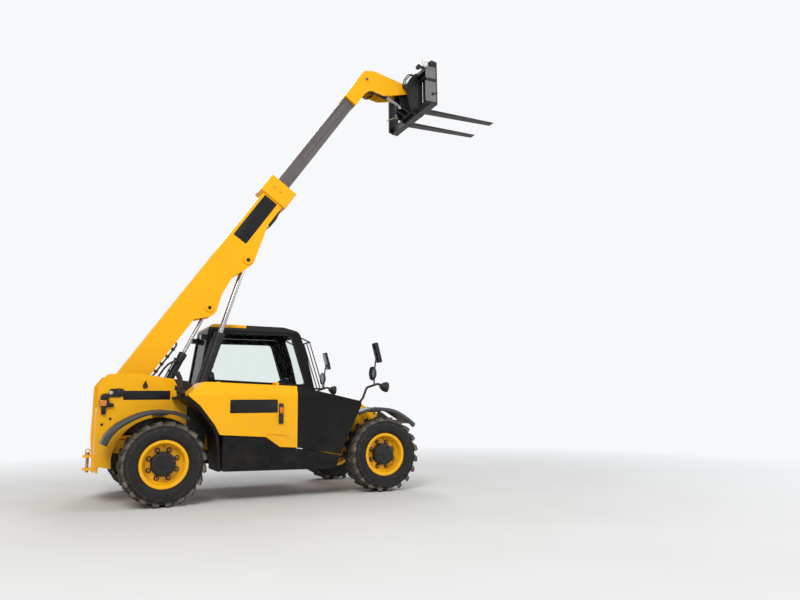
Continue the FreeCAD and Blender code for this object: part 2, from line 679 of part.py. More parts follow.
def rams():
    ram("lift_ram", LIFT_BASE, LIFT_PIN, LIFT_BARREL_LENGTH, LIFT_BARREL_RADIUS,
        LIFT_ROD_RADIUS, LIFT_ROD_LENGTH, LIFT_PIN_RADIUS, LIFT_EYE_HALF, 40, 70)
    ram("slave_ram", SLAVE_BASE, SLAVE_PIN, SLAVE_BARREL_LENGTH, SLAVE_BARREL_RADIUS,
        SLAVE_ROD_RADIUS, SLAVE_ROD_LENGTH, SLAVE_PIN_RADIUS, SLAVE_EYE_HALF, 34, 60)
    ram("tilt_ram", TILT_BASE, TILT_PIN, TILT_BARREL_LENGTH, TILT_BARREL_RADIUS,
        TILT_ROD_RADIUS, TILT_ROD_LENGTH, TILT_PIN_RADIUS, 37, 34, 30)


# Boom
def outer_boom():
    """Deep side plates with the top and the raised floor welded between them."""
    side = side_prism([
        (BOOM_REAR, BOOM_TOP, 60), (BOOM_LENGTH, BOOM_TOP, 0), (BOOM_LENGTH, BOOM_BOTTOM, 0),
        (LIFT_PIN_S + 517, BOOM_BOTTOM, 150), (LIFT_PIN_S + 227, LIFT_PIN_T - 12, 60),
        (LIFT_PIN_S + 17, LIFT_PIN_T - 74, 90), (LIFT_PIN_S - 123, LIFT_PIN_T - 44, 90),
        (LIFT_PIN_S - 283, LIFT_PIN_T + 22, 60), (SLAVE_PIN_S + 221, SLAVE_PIN_T - 17, 90),
        (SLAVE_PIN_S + 1, SLAVE_PIN_T - 93, 70), (SLAVE_PIN_S - 69, SLAVE_PIN_T - 75, 50),
        (SLAVE_PIN_S - 209, BOOM_BOTTOM, 60), (BOOM_REAR + 90, BOOM_BOTTOM, 50),
        (BOOM_REAR, BOOM_BOTTOM + 88, 60)],
        -BOOM_WIDTH / 2, -BOOM_WIDTH / 2 + BOOM_WALL)
    inner = BOOM_WIDTH / 2 - BOOM_WALL
    top = block(BOOM_REAR + 90, BOOM_LENGTH, -inner, inner, BOOM_TOP - BOOM_WALL, BOOM_TOP)
    floor = block(BOOM_REAR + 310, BOOM_LENGTH, -inner, inner, BOOM_FLOOR - BOOM_WALL, BOOM_FLOOR)
    sleeve = cross_pin(0, 0, PIVOT_PIN_RADIUS + 24, BOOM_WIDTH / 2 + 30)
    bosses = []
    for s, t, radius in ((LIFT_PIN_S, LIFT_PIN_T, 52), (SLAVE_PIN_S, SLAVE_PIN_T, 46)):
        boss = Part.makeCylinder(radius, 24, vec(s, -BOOM_WIDTH / 2 - 16, t), Y_AXIS)
        bosses += both_sides(boss)
    body = fused(both_sides(side) + [top, floor, sleeve] + bosses)
    bore = cross_pin(0, 0, PIVOT_PIN_RADIUS + PIN_GAP, BOOM_WIDTH)
    keep("boom_outer", raised(body.cut(bore)))


def box_section(half, low, high, radius):
    """Section of a box member: corners (y, t) with one corner radius."""
    return [(-half, low, radius), (half, low, radius), (half, high, radius), (-half, high, radius)]


def boom_collar():
    """Thick frame round the mouth of the outer boom."""
    rear = BOOM_LENGTH - COLLAR_LENGTH
    ring = front_prism(box_section(BOOM_WIDTH / 2 + COLLAR_THICKNESS, BOOM_BOTTOM - COLLAR_BELOW,
                                   BOOM_TOP + COLLAR_ABOVE, 20), rear, BOOM_LENGTH)
    hollow = front_prism(box_section(BOOM_WIDTH / 2 + GAP, BOOM_BOTTOM - GAP, BOOM_TOP + GAP, 0),
                         rear - 5, BOOM_LENGTH + 5)
    keep("boom_collar", raised(ring.cut(hollow)))


def wear_pads():
    """Four blocks at the mouth that the inner boom slides on."""
    inner = BOOM_WIDTH / 2 - BOOM_WALL
    x0, x1 = BOOM_LENGTH - PAD_LENGTH, BOOM_LENGTH + 12
    pads = [block(x0, x1, -60, 60, INNER_TOP + GAP, BOOM_TOP - BOOM_WALL - GAP),
            block(x0, x1, -60, 60, BOOM_FLOOR + GAP, INNER_BOTTOM - GAP)]
    side = block(x0, x1, INNER_WIDTH / 2 + GAP, inner - GAP, INNER_BOTTOM + 34, INNER_TOP - 36)
    pads += both_sides(side)
    keep("wear_pads", raised(together(pads)))


def inner_boom():
    half = INNER_WIDTH / 2
    wall = BOOM_WALL - 2
    box = front_prism(box_section(half, INNER_BOTTOM, INNER_TOP, 14), INNER_REAR, HEAD_START + HEAD_SOCKET)
    hollow = front_prism(box_section(half - wall, INNER_BOTTOM + wall, INNER_TOP - wall, 4),
                         INNER_REAR - 5, HEAD_START + HEAD_SOCKET - 20)
    keep("boom_inner", raised(box.cut(hollow)))


def boom_head():
    """Dropped nose: two side plates with a top plate between them."""
    nose_s, nose_t = CARRIAGE_PIVOT_S, CARRIAGE_PIVOT_T
    outline = [(HEAD_START, INNER_BOTTOM - 10, 0), (HEAD_START, INNER_TOP + 8, 10),
               (TILT_BASE_S + 80, INNER_TOP + 14, 60), (TILT_BASE_S + 179, INNER_TOP - 86, 90),
               (nose_s + 60, nose_t - 14, 20), (nose_s - 35, nose_t - 97, 30),
               (nose_s - 244, nose_t + 75, 120),
               (nose_s - 321, nose_t + 148, 80), (TILT_BASE_S - 85, INNER_BOTTOM - 40, 80),
               (TILT_BASE_S - 175, INNER_BOTTOM - 10, 60)]
    half = HEAD_WIDTH / 2
    plate = side_prism(outline, -half, -half + HEAD_PLATE)
    solid = side_prism(outline, -half + HEAD_PLATE, half - HEAD_PLATE)
    room = side_prism([(TILT_BASE_S - 191, nose_t - 252, 0), (TILT_BASE_S - 191, INNER_TOP - 24, 20),
                       (TILT_BASE_S + 64, INNER_TOP - 18, 40), (TILT_BASE_S + 149, INNER_TOP - 96, 70),
                       (nose_s - 61, nose_t + 178, 0), (nose_s + 229, nose_t + 248, 0),
                       (nose_s + 229, nose_t - 252, 0)], -half, half)
    web = solid.cut(room)
    bosses = []
    for s, t, radius, height in ((nose_s, nose_t, 44, 14), (TILT_BASE_S, TILT_BASE_T, 36, 8)):
        boss = Part.makeCylinder(radius, HEAD_PLATE + height, vec(s, -half - height, t), Y_AXIS)
        bosses += both_sides(boss)
    head = fused(both_sides(plate) + [web] + bosses)
    socket = front_prism(box_section(INNER_WIDTH / 2 + GAP, INNER_BOTTOM - GAP, INNER_TOP + GAP, 14),
                         HEAD_START - 5, HEAD_START + HEAD_SOCKET + GAP)
    bores = [cross_pin(nose_s, nose_t, NOSE_PIN_RADIUS + PIN_GAP, HEAD_WIDTH),
             cross_pin(TILT_BASE_S, TILT_BASE_T, TILT_PIN_RADIUS + PIN_GAP, HEAD_WIDTH)]
    keep("boom_head", raised(head.cut([socket] + bores)))
    tilt_pin = cross_pin(TILT_BASE_S, TILT_BASE_T, TILT_PIN_RADIUS, half + 12)
    nose_pin = cross_pin(nose_s, nose_t, NOSE_PIN_RADIUS, half + 22)
    keep("head_pins", raised(together([tilt_pin, nose_pin])))


# Carriage
def carriage():
    pivot, lug = CARRIAGE_PIVOT, TILT_PIN
    back = pivot.x + CARRIAGE_OFFSET
    front = back + CARRIAGE_DEPTH
    low, high = pivot.z - CARRIAGE_BELOW, pivot.z + CARRIAGE_ABOVE
    ear = side_prism([(pivot.x - 48, pivot.z + 48, 46), (back + 20, pivot.z + 110, 20),
                      (back + 20, lug.z - 110, 20), (lug.x - 46, lug.z - 46, 44),
                      (lug.x - 48, lug.z + 60, 20), (pivot.x - 46, pivot.z - 60, 20)], -80, -58)
    bore = cross_pin(pivot.x, pivot.z, NOSE_PIN_RADIUS + PIN_GAP, HEAD_WIDTH)
    ears = [side.cut(bore) for side in both_sides(ear)]
    uprights = []
    for y in (-CARRIAGE_HALF_WIDTH, -190, 160, CARRIAGE_HALF_WIDTH - 30):
        uprights.append(side_prism([(back, low + 30, 30), (front, low, 10), (front, high, 10),
                                    (back + 60, high + 20, 30), (back, high - 120, 30)], y, y + 30))
    top = block(back + 40, front, -CARRIAGE_HALF_WIDTH, CARRIAGE_HALF_WIDTH, high - 70, high - 20)
    shaft = cross_pin(front - 40, high - 110, 28, CARRIAGE_HALF_WIDTH)
    bottom = block(back + 50, front, -CARRIAGE_HALF_WIDTH, CARRIAGE_HALF_WIDTH, low + 10, low + 110)
    middle = block(back, back + 24, -190, 190, low + 60, high - 60)
    body = fused(ears + uprights + [top, shaft, bottom, middle])
    keep("carriage", body)


def forks():
    front = FORK_HEEL_X
    top = CARRIAGE_PIVOT.z - FORK_TOP_BELOW_PIVOT
    high = CARRIAGE_PIVOT.z + CARRIAGE_ABOVE - 60
    outline = [(front, top - FORK_THICKNESS, 30), (front + FORK_LENGTH + FORK_THICKNESS, top - 12, 4),
               (front + FORK_LENGTH + FORK_THICKNESS, top, 0), (front + FORK_THICKNESS, top, 20),
               (front + FORK_THICKNESS, high, 10), (front, high, 10)]
    fork = side_prism(outline, FORK_SPACING / 2 - FORK_WIDTH / 2, FORK_SPACING / 2 + FORK_WIDTH / 2)
    keep("forks", together(both_sides(fork)))


# Engine pod on the right
COVER_OUTLINE = [
    (POD_REAR_X, POD_TOP - 94, 20), (POD_REAR_X + 165, POD_TOP + 44, 60), (POD_SPLIT_X, POD_TOP, 10),
    (POD_SPLIT_X, POD_BOTTOM + 2, 10), (POD_SPLIT_X - 192, POD_BOTTOM + 15, 30),
    (POD_SPLIT_X - 346, POD_BOTTOM + 124, 30), (POD_REAR_X + 333, POD_BOTTOM + 159, 20),
    (POD_REAR_X + 279, POD_BOTTOM + 261, 40), (POD_REAR_X + 122, POD_TOP - 195, 60)]
POD_FRONT_OUTLINE = [
    (POD_SPLIT_X, POD_TOP, 10), (POD_FRONT_X, POD_TOP - 167, 36), (POD_FRONT_X + 15, POD_TOP - 204, 36),
    (POD_FRONT_X - 250, POD_BOTTOM - 88, 30), (POD_SPLIT_X, POD_BOTTOM, 0)]
SILL_OUTLINE = [
    (POD_REAR_X + 364, POD_BOTTOM - 213, 20), (POD_FRONT_X - 365, POD_BOTTOM - 238, 30),
    (POD_FRONT_X - 287, POD_BOTTOM - 208, 20), (POD_FRONT_X - 255, POD_BOTTOM - 96, 10),
    (POD_SPLIT_X, POD_BOTTOM - 8, 20), (POD_SPLIT_X - 194, POD_BOTTOM + 6, 30),
    (POD_SPLIT_X - 348, POD_BOTTOM + 114, 30), (POD_REAR_X + 365, POD_BOTTOM + 144, 10)]
ARCH_PATH = moved([(122, 667, 0), (194, 667, 10), (321, 570, 80), (478, 365, 60), (528, 265, 60),
                   (558, -97, 0)], REAR_AXLE_X, AXLE_Z)
DECK_TOP = [(POD_REAR_X + 315, POD_TOP + 37), (POD_SPLIT_X, POD_TOP)]
ENGINE_REAR_X = POD_REAR_X + 425
ENGINE_FRONT_X = POD_SPLIT_X - 98


def crowned(shape, x0, x1, inner_y):
    """Pod piece with the slanted, rounded shoulder along its outer top edge."""
    shoulder = front_prism([(-POD_OUTER_Y, 0, 0), (-POD_OUTER_Y, POD_TOP - 94, 70),
                            (-POD_OUTER_Y + 70, POD_TOP + 101, 60), (-inner_y, POD_TOP + 111, 0),
                            (-inner_y, 0, 0)], x0, x1)
    return shape.common(shoulder)


def pod_room(outline, x0, x1, y1):
    """Hollow inside a pod panel of one wall thickness, open towards the machine's middle."""
    y0 = -POD_OUTER_Y + COVER_WALL
    room = side_prism(inset(outline, COVER_WALL), y0, y1)
    return room.common(front_prism([(y0, 0, 0), (y0, POD_TOP - 101, 50), (y0 + 68, POD_TOP + 79, 50),
                                    (y1 + 5, POD_TOP + 89, 0), (y1 + 5, 0, 0)], x0, x1))


def cover_latch():
    """Raised handle near the cover's front, above the finger recess."""
    x = POD_SPLIT_X - LATCH_BEHIND_SPLIT
    return block(x - 20, x + 20, -POD_OUTER_Y - LATCH_DEPTH, -POD_OUTER_Y + 6, POD_TOP - 399, POD_TOP - 189)


def engine_cover():
    """Hollow hinged cover, open below and towards the machine's middle."""
    x0, x1 = POD_REAR_X - 5, POD_SPLIT_X
    face = -POD_OUTER_Y
    outer = crowned(side_prism(COVER_OUTLINE, face, -COVER_INNER_Y), x0, x1, COVER_INNER_Y)
    room = pod_room(COVER_OUTLINE, x0, x1, -COVER_INNER_Y + 5)
    below = block(POD_REAR_X + 365, x1 - COVER_WALL, face + COVER_WALL, -COVER_INNER_Y + 5,
                  POD_BOTTOM - 28, POD_BOTTOM + 192)
    recess = side_prism(moved([(-458, 172, 30), (-98, 132, 30), (-88, 87, 20), (-278, 72, 20)],
                              POD_SPLIT_X, POD_BOTTOM), face - 5, face + RECESS_DEPTH)
    louvres = []
    for i in range(LOUVRE_COUNT):
        x = POD_REAR_X + LOUVRE_BEHIND_POD_TIP + i * LOUVRE_PITCH
        slot = moved([(0, -39, 0), (30, -39, 0), (62, 71, 0), (32, 71, 0)], x, POD_TOP)
        louvres.append(side_prism(slot, face + 150, -COVER_INNER_Y - 60))
    cover = outer.cut([room, below, recess] + louvres)
    for x in COVER_HINGE_XS:
        cover = cover.fuse(hinge_leaf(x)).cut(hinge_bore(x))
    return cover.fuse(cover_latch()).removeSplitter()


def hinge_leaf(x):
    """Sleeve round a hinge pin, with the strap that joins it to the cover's top."""
    x0, x1 = x - HINGE_LENGTH / 2, x + HINGE_LENGTH / 2
    strap_y = COVER_HINGE_Y - HINGE_LENGTH
    start = vec(x0, COVER_HINGE_Y, COVER_HINGE_Z)
    sleeve = Part.makeCylinder(2 * HINGE_PIN_RADIUS, HINGE_LENGTH, start, X_AXIS)
    strap = block(x0, x1, strap_y, COVER_HINGE_Y, COVER_HINGE_Z - 2 * HINGE_PIN_RADIUS, COVER_HINGE_Z)
    heel = block(x0, x1, strap_y, strap_y + 20, deck_height(x) - 12, COVER_HINGE_Z)
    return [sleeve, strap, heel]


def hinge_bore(x):
    start = vec(x - HINGE_LENGTH, COVER_HINGE_Y, COVER_HINGE_Z)
    return Part.makeCylinder(HINGE_PIN_RADIUS + PIN_GAP, 2 * HINGE_LENGTH, start, X_AXIS)


def deck_height(x):
    (rear_x, rear_z), (front_x, front_z) = DECK_TOP
    return rear_z + (front_z - rear_z) * (x - rear_x) / (front_x - rear_x)


def hinge_posts():
    """Posts on the deck that hold the pins of the cover's hinges."""
    posts = []
    for x in COVER_HINGE_XS:
        x1 = x - HINGE_LENGTH / 2 - 2
        x0 = x1 - 12
        inner_y = -COVER_INNER_Y + 35
        top = COVER_HINGE_Z + HINGE_PIN_RADIUS + 2
        low = COVER_HINGE_Z - HINGE_PIN_RADIUS - 2
        post = block(x0, x1, -COVER_INNER_Y + PANEL_GAP, inner_y, deck_height(x) - 12, top)
        arm = block(x0, x1, COVER_HINGE_Y - HINGE_PIN_RADIUS - 2, inner_y, low, top)
        start = vec(x0, COVER_HINGE_Y, COVER_HINGE_Z)
        pin = Part.makeCylinder(HINGE_PIN_RADIUS, HINGE_LENGTH + 18, start, X_AXIS)
        posts += [post, arm, pin]
    return posts


def pod():
    keep("engine_cover", engine_cover())
    inner = FRONT_PLATE_Y + GAP
    x0, x1 = POD_SPLIT_X + PANEL_GAP, POD_FRONT_X + 20
    front = crowned(side_prism(POD_FRONT_OUTLINE, -POD_OUTER_Y, -inner), x0, x1, inner)
    keep("pod_front", front.cut(pod_room(POD_FRONT_OUTLINE, x0, x1, -inner + 5)))
    sill = side_prism(SILL_OUTLINE, -POD_OUTER_Y, -RAIL_OUTER_Y - GAP)
    bay = block(ENGINE_REAR_X - 20, ENGINE_FRONT_X + 60, -POD_OUTER_Y + COVER_WALL, -RAIL_OUTER_Y - 20,
                ENGINE_BOTTOM, POD_BOTTOM + 172)
    plate_room = block(POD_FRONT_X - 355, POD_FRONT_X, -inner, 0, 0, POD_TOP)
    keep("pod_sill", sill.cut([bay, plate_room]))
    (rear_x, rear_z), (front_x, front_z) = DECK_TOP
    foot = RAIL_TOP + GAP
    wall = side_prism([(rear_x, foot, 0), (front_x, foot, 0), (front_x, front_z, 0), (rear_x, rear_z, 0)],
                      -DECK_INNER_Y - COVER_WALL, -DECK_INNER_Y)
    deck = side_prism([(rear_x, rear_z - COVER_WALL, 0), (front_x, front_z - COVER_WALL, 0),
                       (front_x, front_z, 0), (rear_x, rear_z, 0)], -COVER_INNER_Y + PANEL_GAP, -DECK_INNER_Y)
    keep("engine_bulkhead", fused([wall, deck] + hinge_posts()))
    keep("engine", block(ENGINE_REAR_X, ENGINE_FRONT_X, -POD_OUTER_Y + 110, -RAIL_OUTER_Y - 40,
                         ENGINE_BOTTOM + GAP, POD_TOP - 129))
    arch = side_prism(band(ARCH_PATH, -ARCH_PANEL_THICKNESS)[::-1], -POD_OUTER_Y + 14, -REAR_PLATE_Y - GAP)
    keep("arch_panel", arch)


def exhaust():
    """Pipe that stands on the top of the arch panel and leans back at its end."""
    foot = ARCH_PATH[0][1] + GAP
    elbow = foot + EXHAUST_HEIGHT
    pipe = bent_bar([vec(EXHAUST_X, EXHAUST_Y, foot), vec(EXHAUST_X, EXHAUST_Y, elbow),
                     vec(EXHAUST_X - 34, EXHAUST_Y, elbow + 68)], 50, EXHAUST_RADIUS)
    keep("exhaust", pipe)


# Mudguards
REAR_GUARD = round_wheel(REAR_AXLE_X, [(159.7, 205, 0), (145.1, 202, 120), (115.8, 150, 300),
                                       (101.4, 130, 200), (80.9, 114, 200), (62.3, 97, 0)])
FRONT_GUARD = round_wheel(FRONT_AXLE_X, [(125.1, 166, 0), (110.0, 141, 160), (96.2, 124, 200),
                                         (73.9, 115, 260), (40.3, 112, 0)])


def mudguards():
    """Moulded strips over the wheels, each with an outer lip and a carrier below."""
    low = AXLE_Z + GUARD_CARRIER_ABOVE_AXLE
    strips = []
    for path, post_x, plate_y in ((REAR_GUARD, REAR_AXLE_X - 25, REAR_PLATE_Y),
                                  (FRONT_GUARD, FRONT_AXLE_X - 80, FRONT_PLATE_Y)):
        skin = side_prism(band(path, -GUARD_THICKNESS), -POD_OUTER_Y, -GUARD_INNER_Y)
        lip = side_prism(band(path, -GUARD_LIP), -POD_OUTER_Y, -POD_OUTER_Y + GUARD_THICKNESS)
        carrier = block(post_x - 70, post_x + 70, -POD_OUTER_Y + 60, -plate_y - GAP,
                        low, low + GUARD_CARRIER_HEIGHT)
        strips += both_sides(fused([skin, lip, carrier]))
    keep("mudguards", together(strips))


# Hitch at the rear
def hitch():
    """Two jaws on a plate behind the rear wall, and the pin that drops through them."""
    plate_x = REAR_WALL_X - GAP - 22
    jaws = []
    for z in (HITCH_LOW_Z, HITCH_LOW_Z + HITCH_JAW + HITCH_GAP):
        jaws.append(plan_prism([(HITCH_REAR_X, -50, 30), (HITCH_REAR_X, 50, 30), (plate_x + 10, 70, 0),
                                (plate_x + 10, -70, 0)], z, z + HITCH_JAW))
    top = HITCH_LOW_Z + 2 * HITCH_JAW + HITCH_GAP
    plate = block(plate_x, REAR_WALL_X - GAP, -95, 95, HITCH_LOW_Z - 20, top - 3)
    pin_x = HITCH_REAR_X + 48
    foot = HITCH_LOW_Z - 22
    hole = Part.makeCylinder(HITCH_PIN_RADIUS + GAP, top - foot + 10, vec(pin_x, 0, foot - 5), Z_AXIS)
    keep("tow_hitch", fused(jaws + [plate]).cut(hole))
    pin = Part.makeCylinder(HITCH_PIN_RADIUS, top + 30 - foot, vec(pin_x, 0, foot), Z_AXIS)
    head = Part.makeCylinder(HITCH_PIN_RADIUS + 10, 14, vec(pin_x, 0, top + GAP), Z_AXIS)
    ring = Part.makeTorus(22, 5, vec(pin_x, 0, top + 38), Y_AXIS)
    keep("tow_pin", fused([pin, head, ring]))


# Cab on the left
WINDOW_LOW_Z = 1255.0
WINDOW_HIGH_Z = 1835.0
CAB_OUTLINE = [
    (CAB_REAR_X + 60, CAB_BOTTOM_Z, 30), (CAB_FRONT_X - 165, CAB_BOTTOM_Z, 40),
    (CAB_FRONT_X - 90, CAB_BOTTOM_Z + 120, 40), (CAB_FRONT_X + 40, CAB_TOP_Z - 1030, 60),
    (CAB_FRONT_X + 50, CAB_TOP_Z - 880, 60), (CAB_FRONT_X, CAB_TOP_Z - 745, 30),
    (CAB_FRONT_X - 92, CAB_TOP_Z - 374, 600), (CAB_FRONT_X - 200, CAB_TOP_Z - 60, 100),
    (CAB_FRONT_X - 405, CAB_TOP_Z - 10, 200),
    (CAB_REAR_X + 100, CAB_TOP_Z, 70), (CAB_REAR_X, CAB_TOP_Z - 660, 40),
    (CAB_REAR_X, CAB_TOP_Z - 1160, 60)]
SIDE_WINDOW = [
    (CAB_REAR_X + 110, WINDOW_LOW_Z + 35, 40), (CAB_FRONT_X - 110, WINDOW_LOW_Z - 25, 30),
    (CAB_FRONT_X - 310, WINDOW_HIGH_Z + 15, 90), (CAB_REAR_X + 160, WINDOW_HIGH_Z + 15, 40)]
DOOR_OUTLINE = [
    (CAB_REAR_X + 170, CAB_BOTTOM_Z + 80, 40), (CAB_FRONT_X - 225, CAB_BOTTOM_Z + 80, 40),
    (CAB_FRONT_X - 155, CAB_BOTTOM_Z + 200, 60), (CAB_FRONT_X - 85, CAB_BOTTOM_Z + 380, 60),
    (CAB_FRONT_X - 88, WINDOW_LOW_Z - 40, 30), (CAB_FRONT_X - 290, WINDOW_HIGH_Z + 15, 60),
    (CAB_REAR_X + 170, WINDOW_HIGH_Z + 15, 40)]
DOOR_WINDOW = [
    (CAB_REAR_X + 240, WINDOW_LOW_Z - 105, 40), (CAB_FRONT_X - 168, WINDOW_LOW_Z - 105, 30),
    (CAB_FRONT_X - 362, WINDOW_HIGH_Z - 50, 60), (CAB_REAR_X + 240, WINDOW_HIGH_Z - 50, 40)]
FRONT_END = (CAB_FRONT_X - 280, CAB_FRONT_X + 100)
REAR_END = (CAB_REAR_X - 60, CAB_REAR_X + 160)


def cab_solid(depth):
    """Cab drawn in by a depth all round, stepped over the rail and the front frame."""
    solid = side_prism(inset(CAB_OUTLINE, depth), CAB_INNER_Y + depth, CAB_OUTER_Y - depth)
    step_y = FRONT_PLATE_Y + PANEL_GAP + depth
    over_rail = block(REAR_END[0], FRONT_END[1], 0, step_y, 0, RAIL_TOP + GAP + depth)
    over_plate = block(CAB_STEP_X - depth, FRONT_END[1], 0, step_y, 0, CAB_STEP_Z + depth)
    return solid.cut([over_rail, over_plate])


def cab_shell():
    """Cab body: pillars and walls round the hollow, with every window cut."""
    openings = [
        side_prism(SIDE_WINDOW, CAB_INNER_Y - 5, CAB_INNER_Y + CAB_WALL + 5),
        side_prism(DOOR_OUTLINE, CAB_OUTER_Y - CAB_WALL - 5, CAB_OUTER_Y + 5),
        front_prism(end_window(0), *FRONT_END), front_prism(end_window(0), *REAR_END)]
    return cab_solid(0).cut([cab_solid(CAB_WALL)] + openings)


def end_window(gap):
    """Outline of the windscreen and of the rear window, seen along the machine."""
    y0, y1 = CAB_INNER_Y + CAB_WALL + 10 + gap, CAB_OUTER_Y - CAB_WALL - 10 - gap
    low, high = WINDOW_LOW_Z + gap, WINDOW_HIGH_Z - gap
    return [(y0, low, 30), (y1, low, 30), (y1, high, 30), (y0, high, 30)]


def door_pins():
    """Pins beside the rear door pillar, each between two lugs."""
    shapes = []
    for z in DOOR_HINGE_ZS:
        low = z - 16
        shapes.append(Part.makeCylinder(DOOR_PIN_RADIUS, 122, vec(DOOR_HINGE_X, DOOR_HINGE_Y, low), Z_AXIS))
        for lug_z in (low, low + 107):
            shapes.append(block(DOOR_HINGE_X - 12, DOOR_HINGE_X + 12, CAB_OUTER_Y - 5, DOOR_HINGE_Y + 9,
                                lug_z, lug_z + 15))
    return shapes


def cab():
    shell = cab_shell()
    top = block(REAR_END[0], FRONT_END[1], 0, CAB_OUTER_Y + 5, ROOF_SPLIT_Z, CAB_TOP_Z + 5)
    keep("cab_frame", fused([shell.cut(top)] + door_pins()))
    keep("cab_roof", shell.common(top))
    layer = side_prism(inset(CAB_OUTLINE, PANE_DEPTH), CAB_INNER_Y, CAB_OUTER_Y)
    layer = layer.cut(side_prism(inset(CAB_OUTLINE, PANE_DEPTH + PANE), CAB_INNER_Y - 5, CAB_OUTER_Y + 5))
    screen = layer.common(front_prism(end_window(GAP), *FRONT_END))
    rear = layer.common(front_prism(end_window(GAP), *REAR_END))
    inner_pane_y = CAB_INNER_Y + PANE_DEPTH
    outer_pane_y = CAB_OUTER_Y - PANE_DEPTH
    side = side_prism(inset(SIDE_WINDOW, GAP), inner_pane_y, inner_pane_y + PANE)
    keep("cab_glass", together([screen, rear, side]))
    keep("cab_door", cab_door())
    keep("door_glass", side_prism(inset(DOOR_WINDOW, GAP), outer_pane_y - PANE, outer_pane_y))


def cab_door():
    """Door leaf with its window cut, a grip, and two hinge knuckles at the rear."""
    leaf = side_prism(inset(DOOR_OUTLINE, PANEL_GAP), CAB_OUTER_Y - CAB_WALL, CAB_OUTER_Y)
    window = side_prism(DOOR_WINDOW, CAB_OUTER_Y - CAB_WALL - 5, CAB_OUTER_Y + 5)
    strap_x = DOOR_HINGE_X + 78
    knuckles, bores = [], []
    for z in DOOR_HINGE_ZS:
        foot = vec(DOOR_HINGE_X, DOOR_HINGE_Y, z)
        knuckles.append(Part.makeCylinder(2 * DOOR_PIN_RADIUS, 90, foot, Z_AXIS))
        knuckles.append(block(DOOR_HINGE_X, strap_x, CAB_OUTER_Y + 2, CAB_OUTER_Y + 10, z + 10, z + 80))
        knuckles.append(block(strap_x - 50, strap_x, CAB_OUTER_Y - 5, CAB_OUTER_Y + 10, z + 10, z + 80))
        bores.append(Part.makeCylinder(DOOR_PIN_RADIUS + PIN_GAP, 200, foot - Z_AXIS * 50, Z_AXIS))
    grip_x, grip_z = CAB_FRONT_X - 165, WINDOW_LOW_Z - 245
    foot_y, grip_y = CAB_OUTER_Y - 5, CAB_OUTER_Y + 26
    handle = bent_bar([vec(grip_x, foot_y, grip_z), vec(grip_x, grip_y, grip_z),
                       vec(grip_x - 130, grip_y, grip_z), vec(grip_x - 130, foot_y, grip_z)], 12, 8)
    return fused([leaf.cut(window), handle] + knuckles).cut(bores)


def seat():
    """Seat box on the floor, its cushion, and the back that leans behind it."""
    floor = CAB_FLOOR_Z + GAP
    base_outline = [(280, floor, 10), (740, floor, 10), (720, SEAT_TOP_Z, 20), (300, SEAT_TOP_Z, 20)]
    base_inner_y = FRONT_PLATE_Y + PANEL_GAP + CAB_WALL + SEAT_CLEARANCE
    base = side_prism(moved(base_outline, CAB_REAR_X), base_inner_y, SEAT_Y + 130)
    keep("seat_base", base)
    cushion_outline = moved([(200, GAP, 30), (770, GAP, 30), (780, 110, 45), (200, 90, 30)],
                            CAB_REAR_X, SEAT_TOP_Z)
    y0 = CAB_INNER_Y + CAB_WALL + CUSHION_INNER_INSET
    y1 = CAB_OUTER_Y - CAB_WALL - CUSHION_OUTER_INSET
    back = side_prism(moved([(180, 60, 30), (290, 60, 30), (210, 620, 45), (110, 610, 40)],
                            CAB_REAR_X, SEAT_TOP_Z), y0 + 10, y1 - 10)
    back = back.cut(side_prism(inset(cushion_outline, -GAP), y0, y1))
    keep("seat_cushion", side_prism(cushion_outline, y0, y1))
    keep("seat_back", back)


def dashboard():
    """Console in front of the operator, and the steering wheel on its sloping column."""
    dash = side_prism(moved([(-165, -1355, 20), (0, -1260, 20), (50, -880, 30), (30, -770, 20),
                             (-100, -750, 40), (-165, -910, 40)], CAB_FRONT_X, CAB_TOP_Z),
                      SEAT_Y - 140, SEAT_Y + 260)
    dash = dash.common(cab_solid(CAB_WALL + GAP))
    keep("dashboard", dash)
    y = SEAT_Y - 10
    centre = vec(CAB_FRONT_X - 390, y, CAB_TOP_Z - 735)
    along = vec(-110, 0, 165)
    along.normalize()
    column = rod(centre - along * 470, centre - along * 29, 30)
    wheel = Part.makeTorus(STEERING_RADIUS, 15, centre, along)
    spokes = []
    for angle in (0.5, 2.6, 4.7):
        out = vec(-along.z, 0, along.x) * -math.cos(angle) + Y_AXIS * math.sin(angle)
        spokes.append(rod(centre, centre + out * STEERING_RADIUS, 9))
    hub = rod(centre - along * 29, centre + along * 10, 42)
    keep("steering_wheel", fused([column, wheel, hub] + spokes).cut(dash))


def windscreen_guard():
    """Sloping bars in front of the windscreen between two cross rails."""
    low = vec(CAB_FRONT_X + 148, 0, CAB_TOP_Z - 770)
    high = vec(CAB_FRONT_X - 43, 0, CAB_TOP_Z - 181)
    first_y, last_y = CAB_INNER_Y + 60, CAB_OUTER_Y - 80
    bars = []
    for i in range(GUARD_BARS):
        y = first_y + i * (last_y - first_y) / (GUARD_BARS - 1)
        bars.append(rod(low + vec(0, y, 0), high + vec(0, y, 0), 7))
    for end in (low, high):
        bars.append(rod(end + vec(0, first_y - 15, 0), end + vec(0, last_y + 15, 0), 10))
    for y in (first_y, last_y):
        bars.append(rod(low + vec(-165, y, 0), low + vec(1, y, 0), 9))
        bars.append(rod(high + vec(-182, y, 81), high + vec(1, y, 0), 9))
    keep("windscreen_guard", fused(bars).cut(cab_solid(-GAP)))


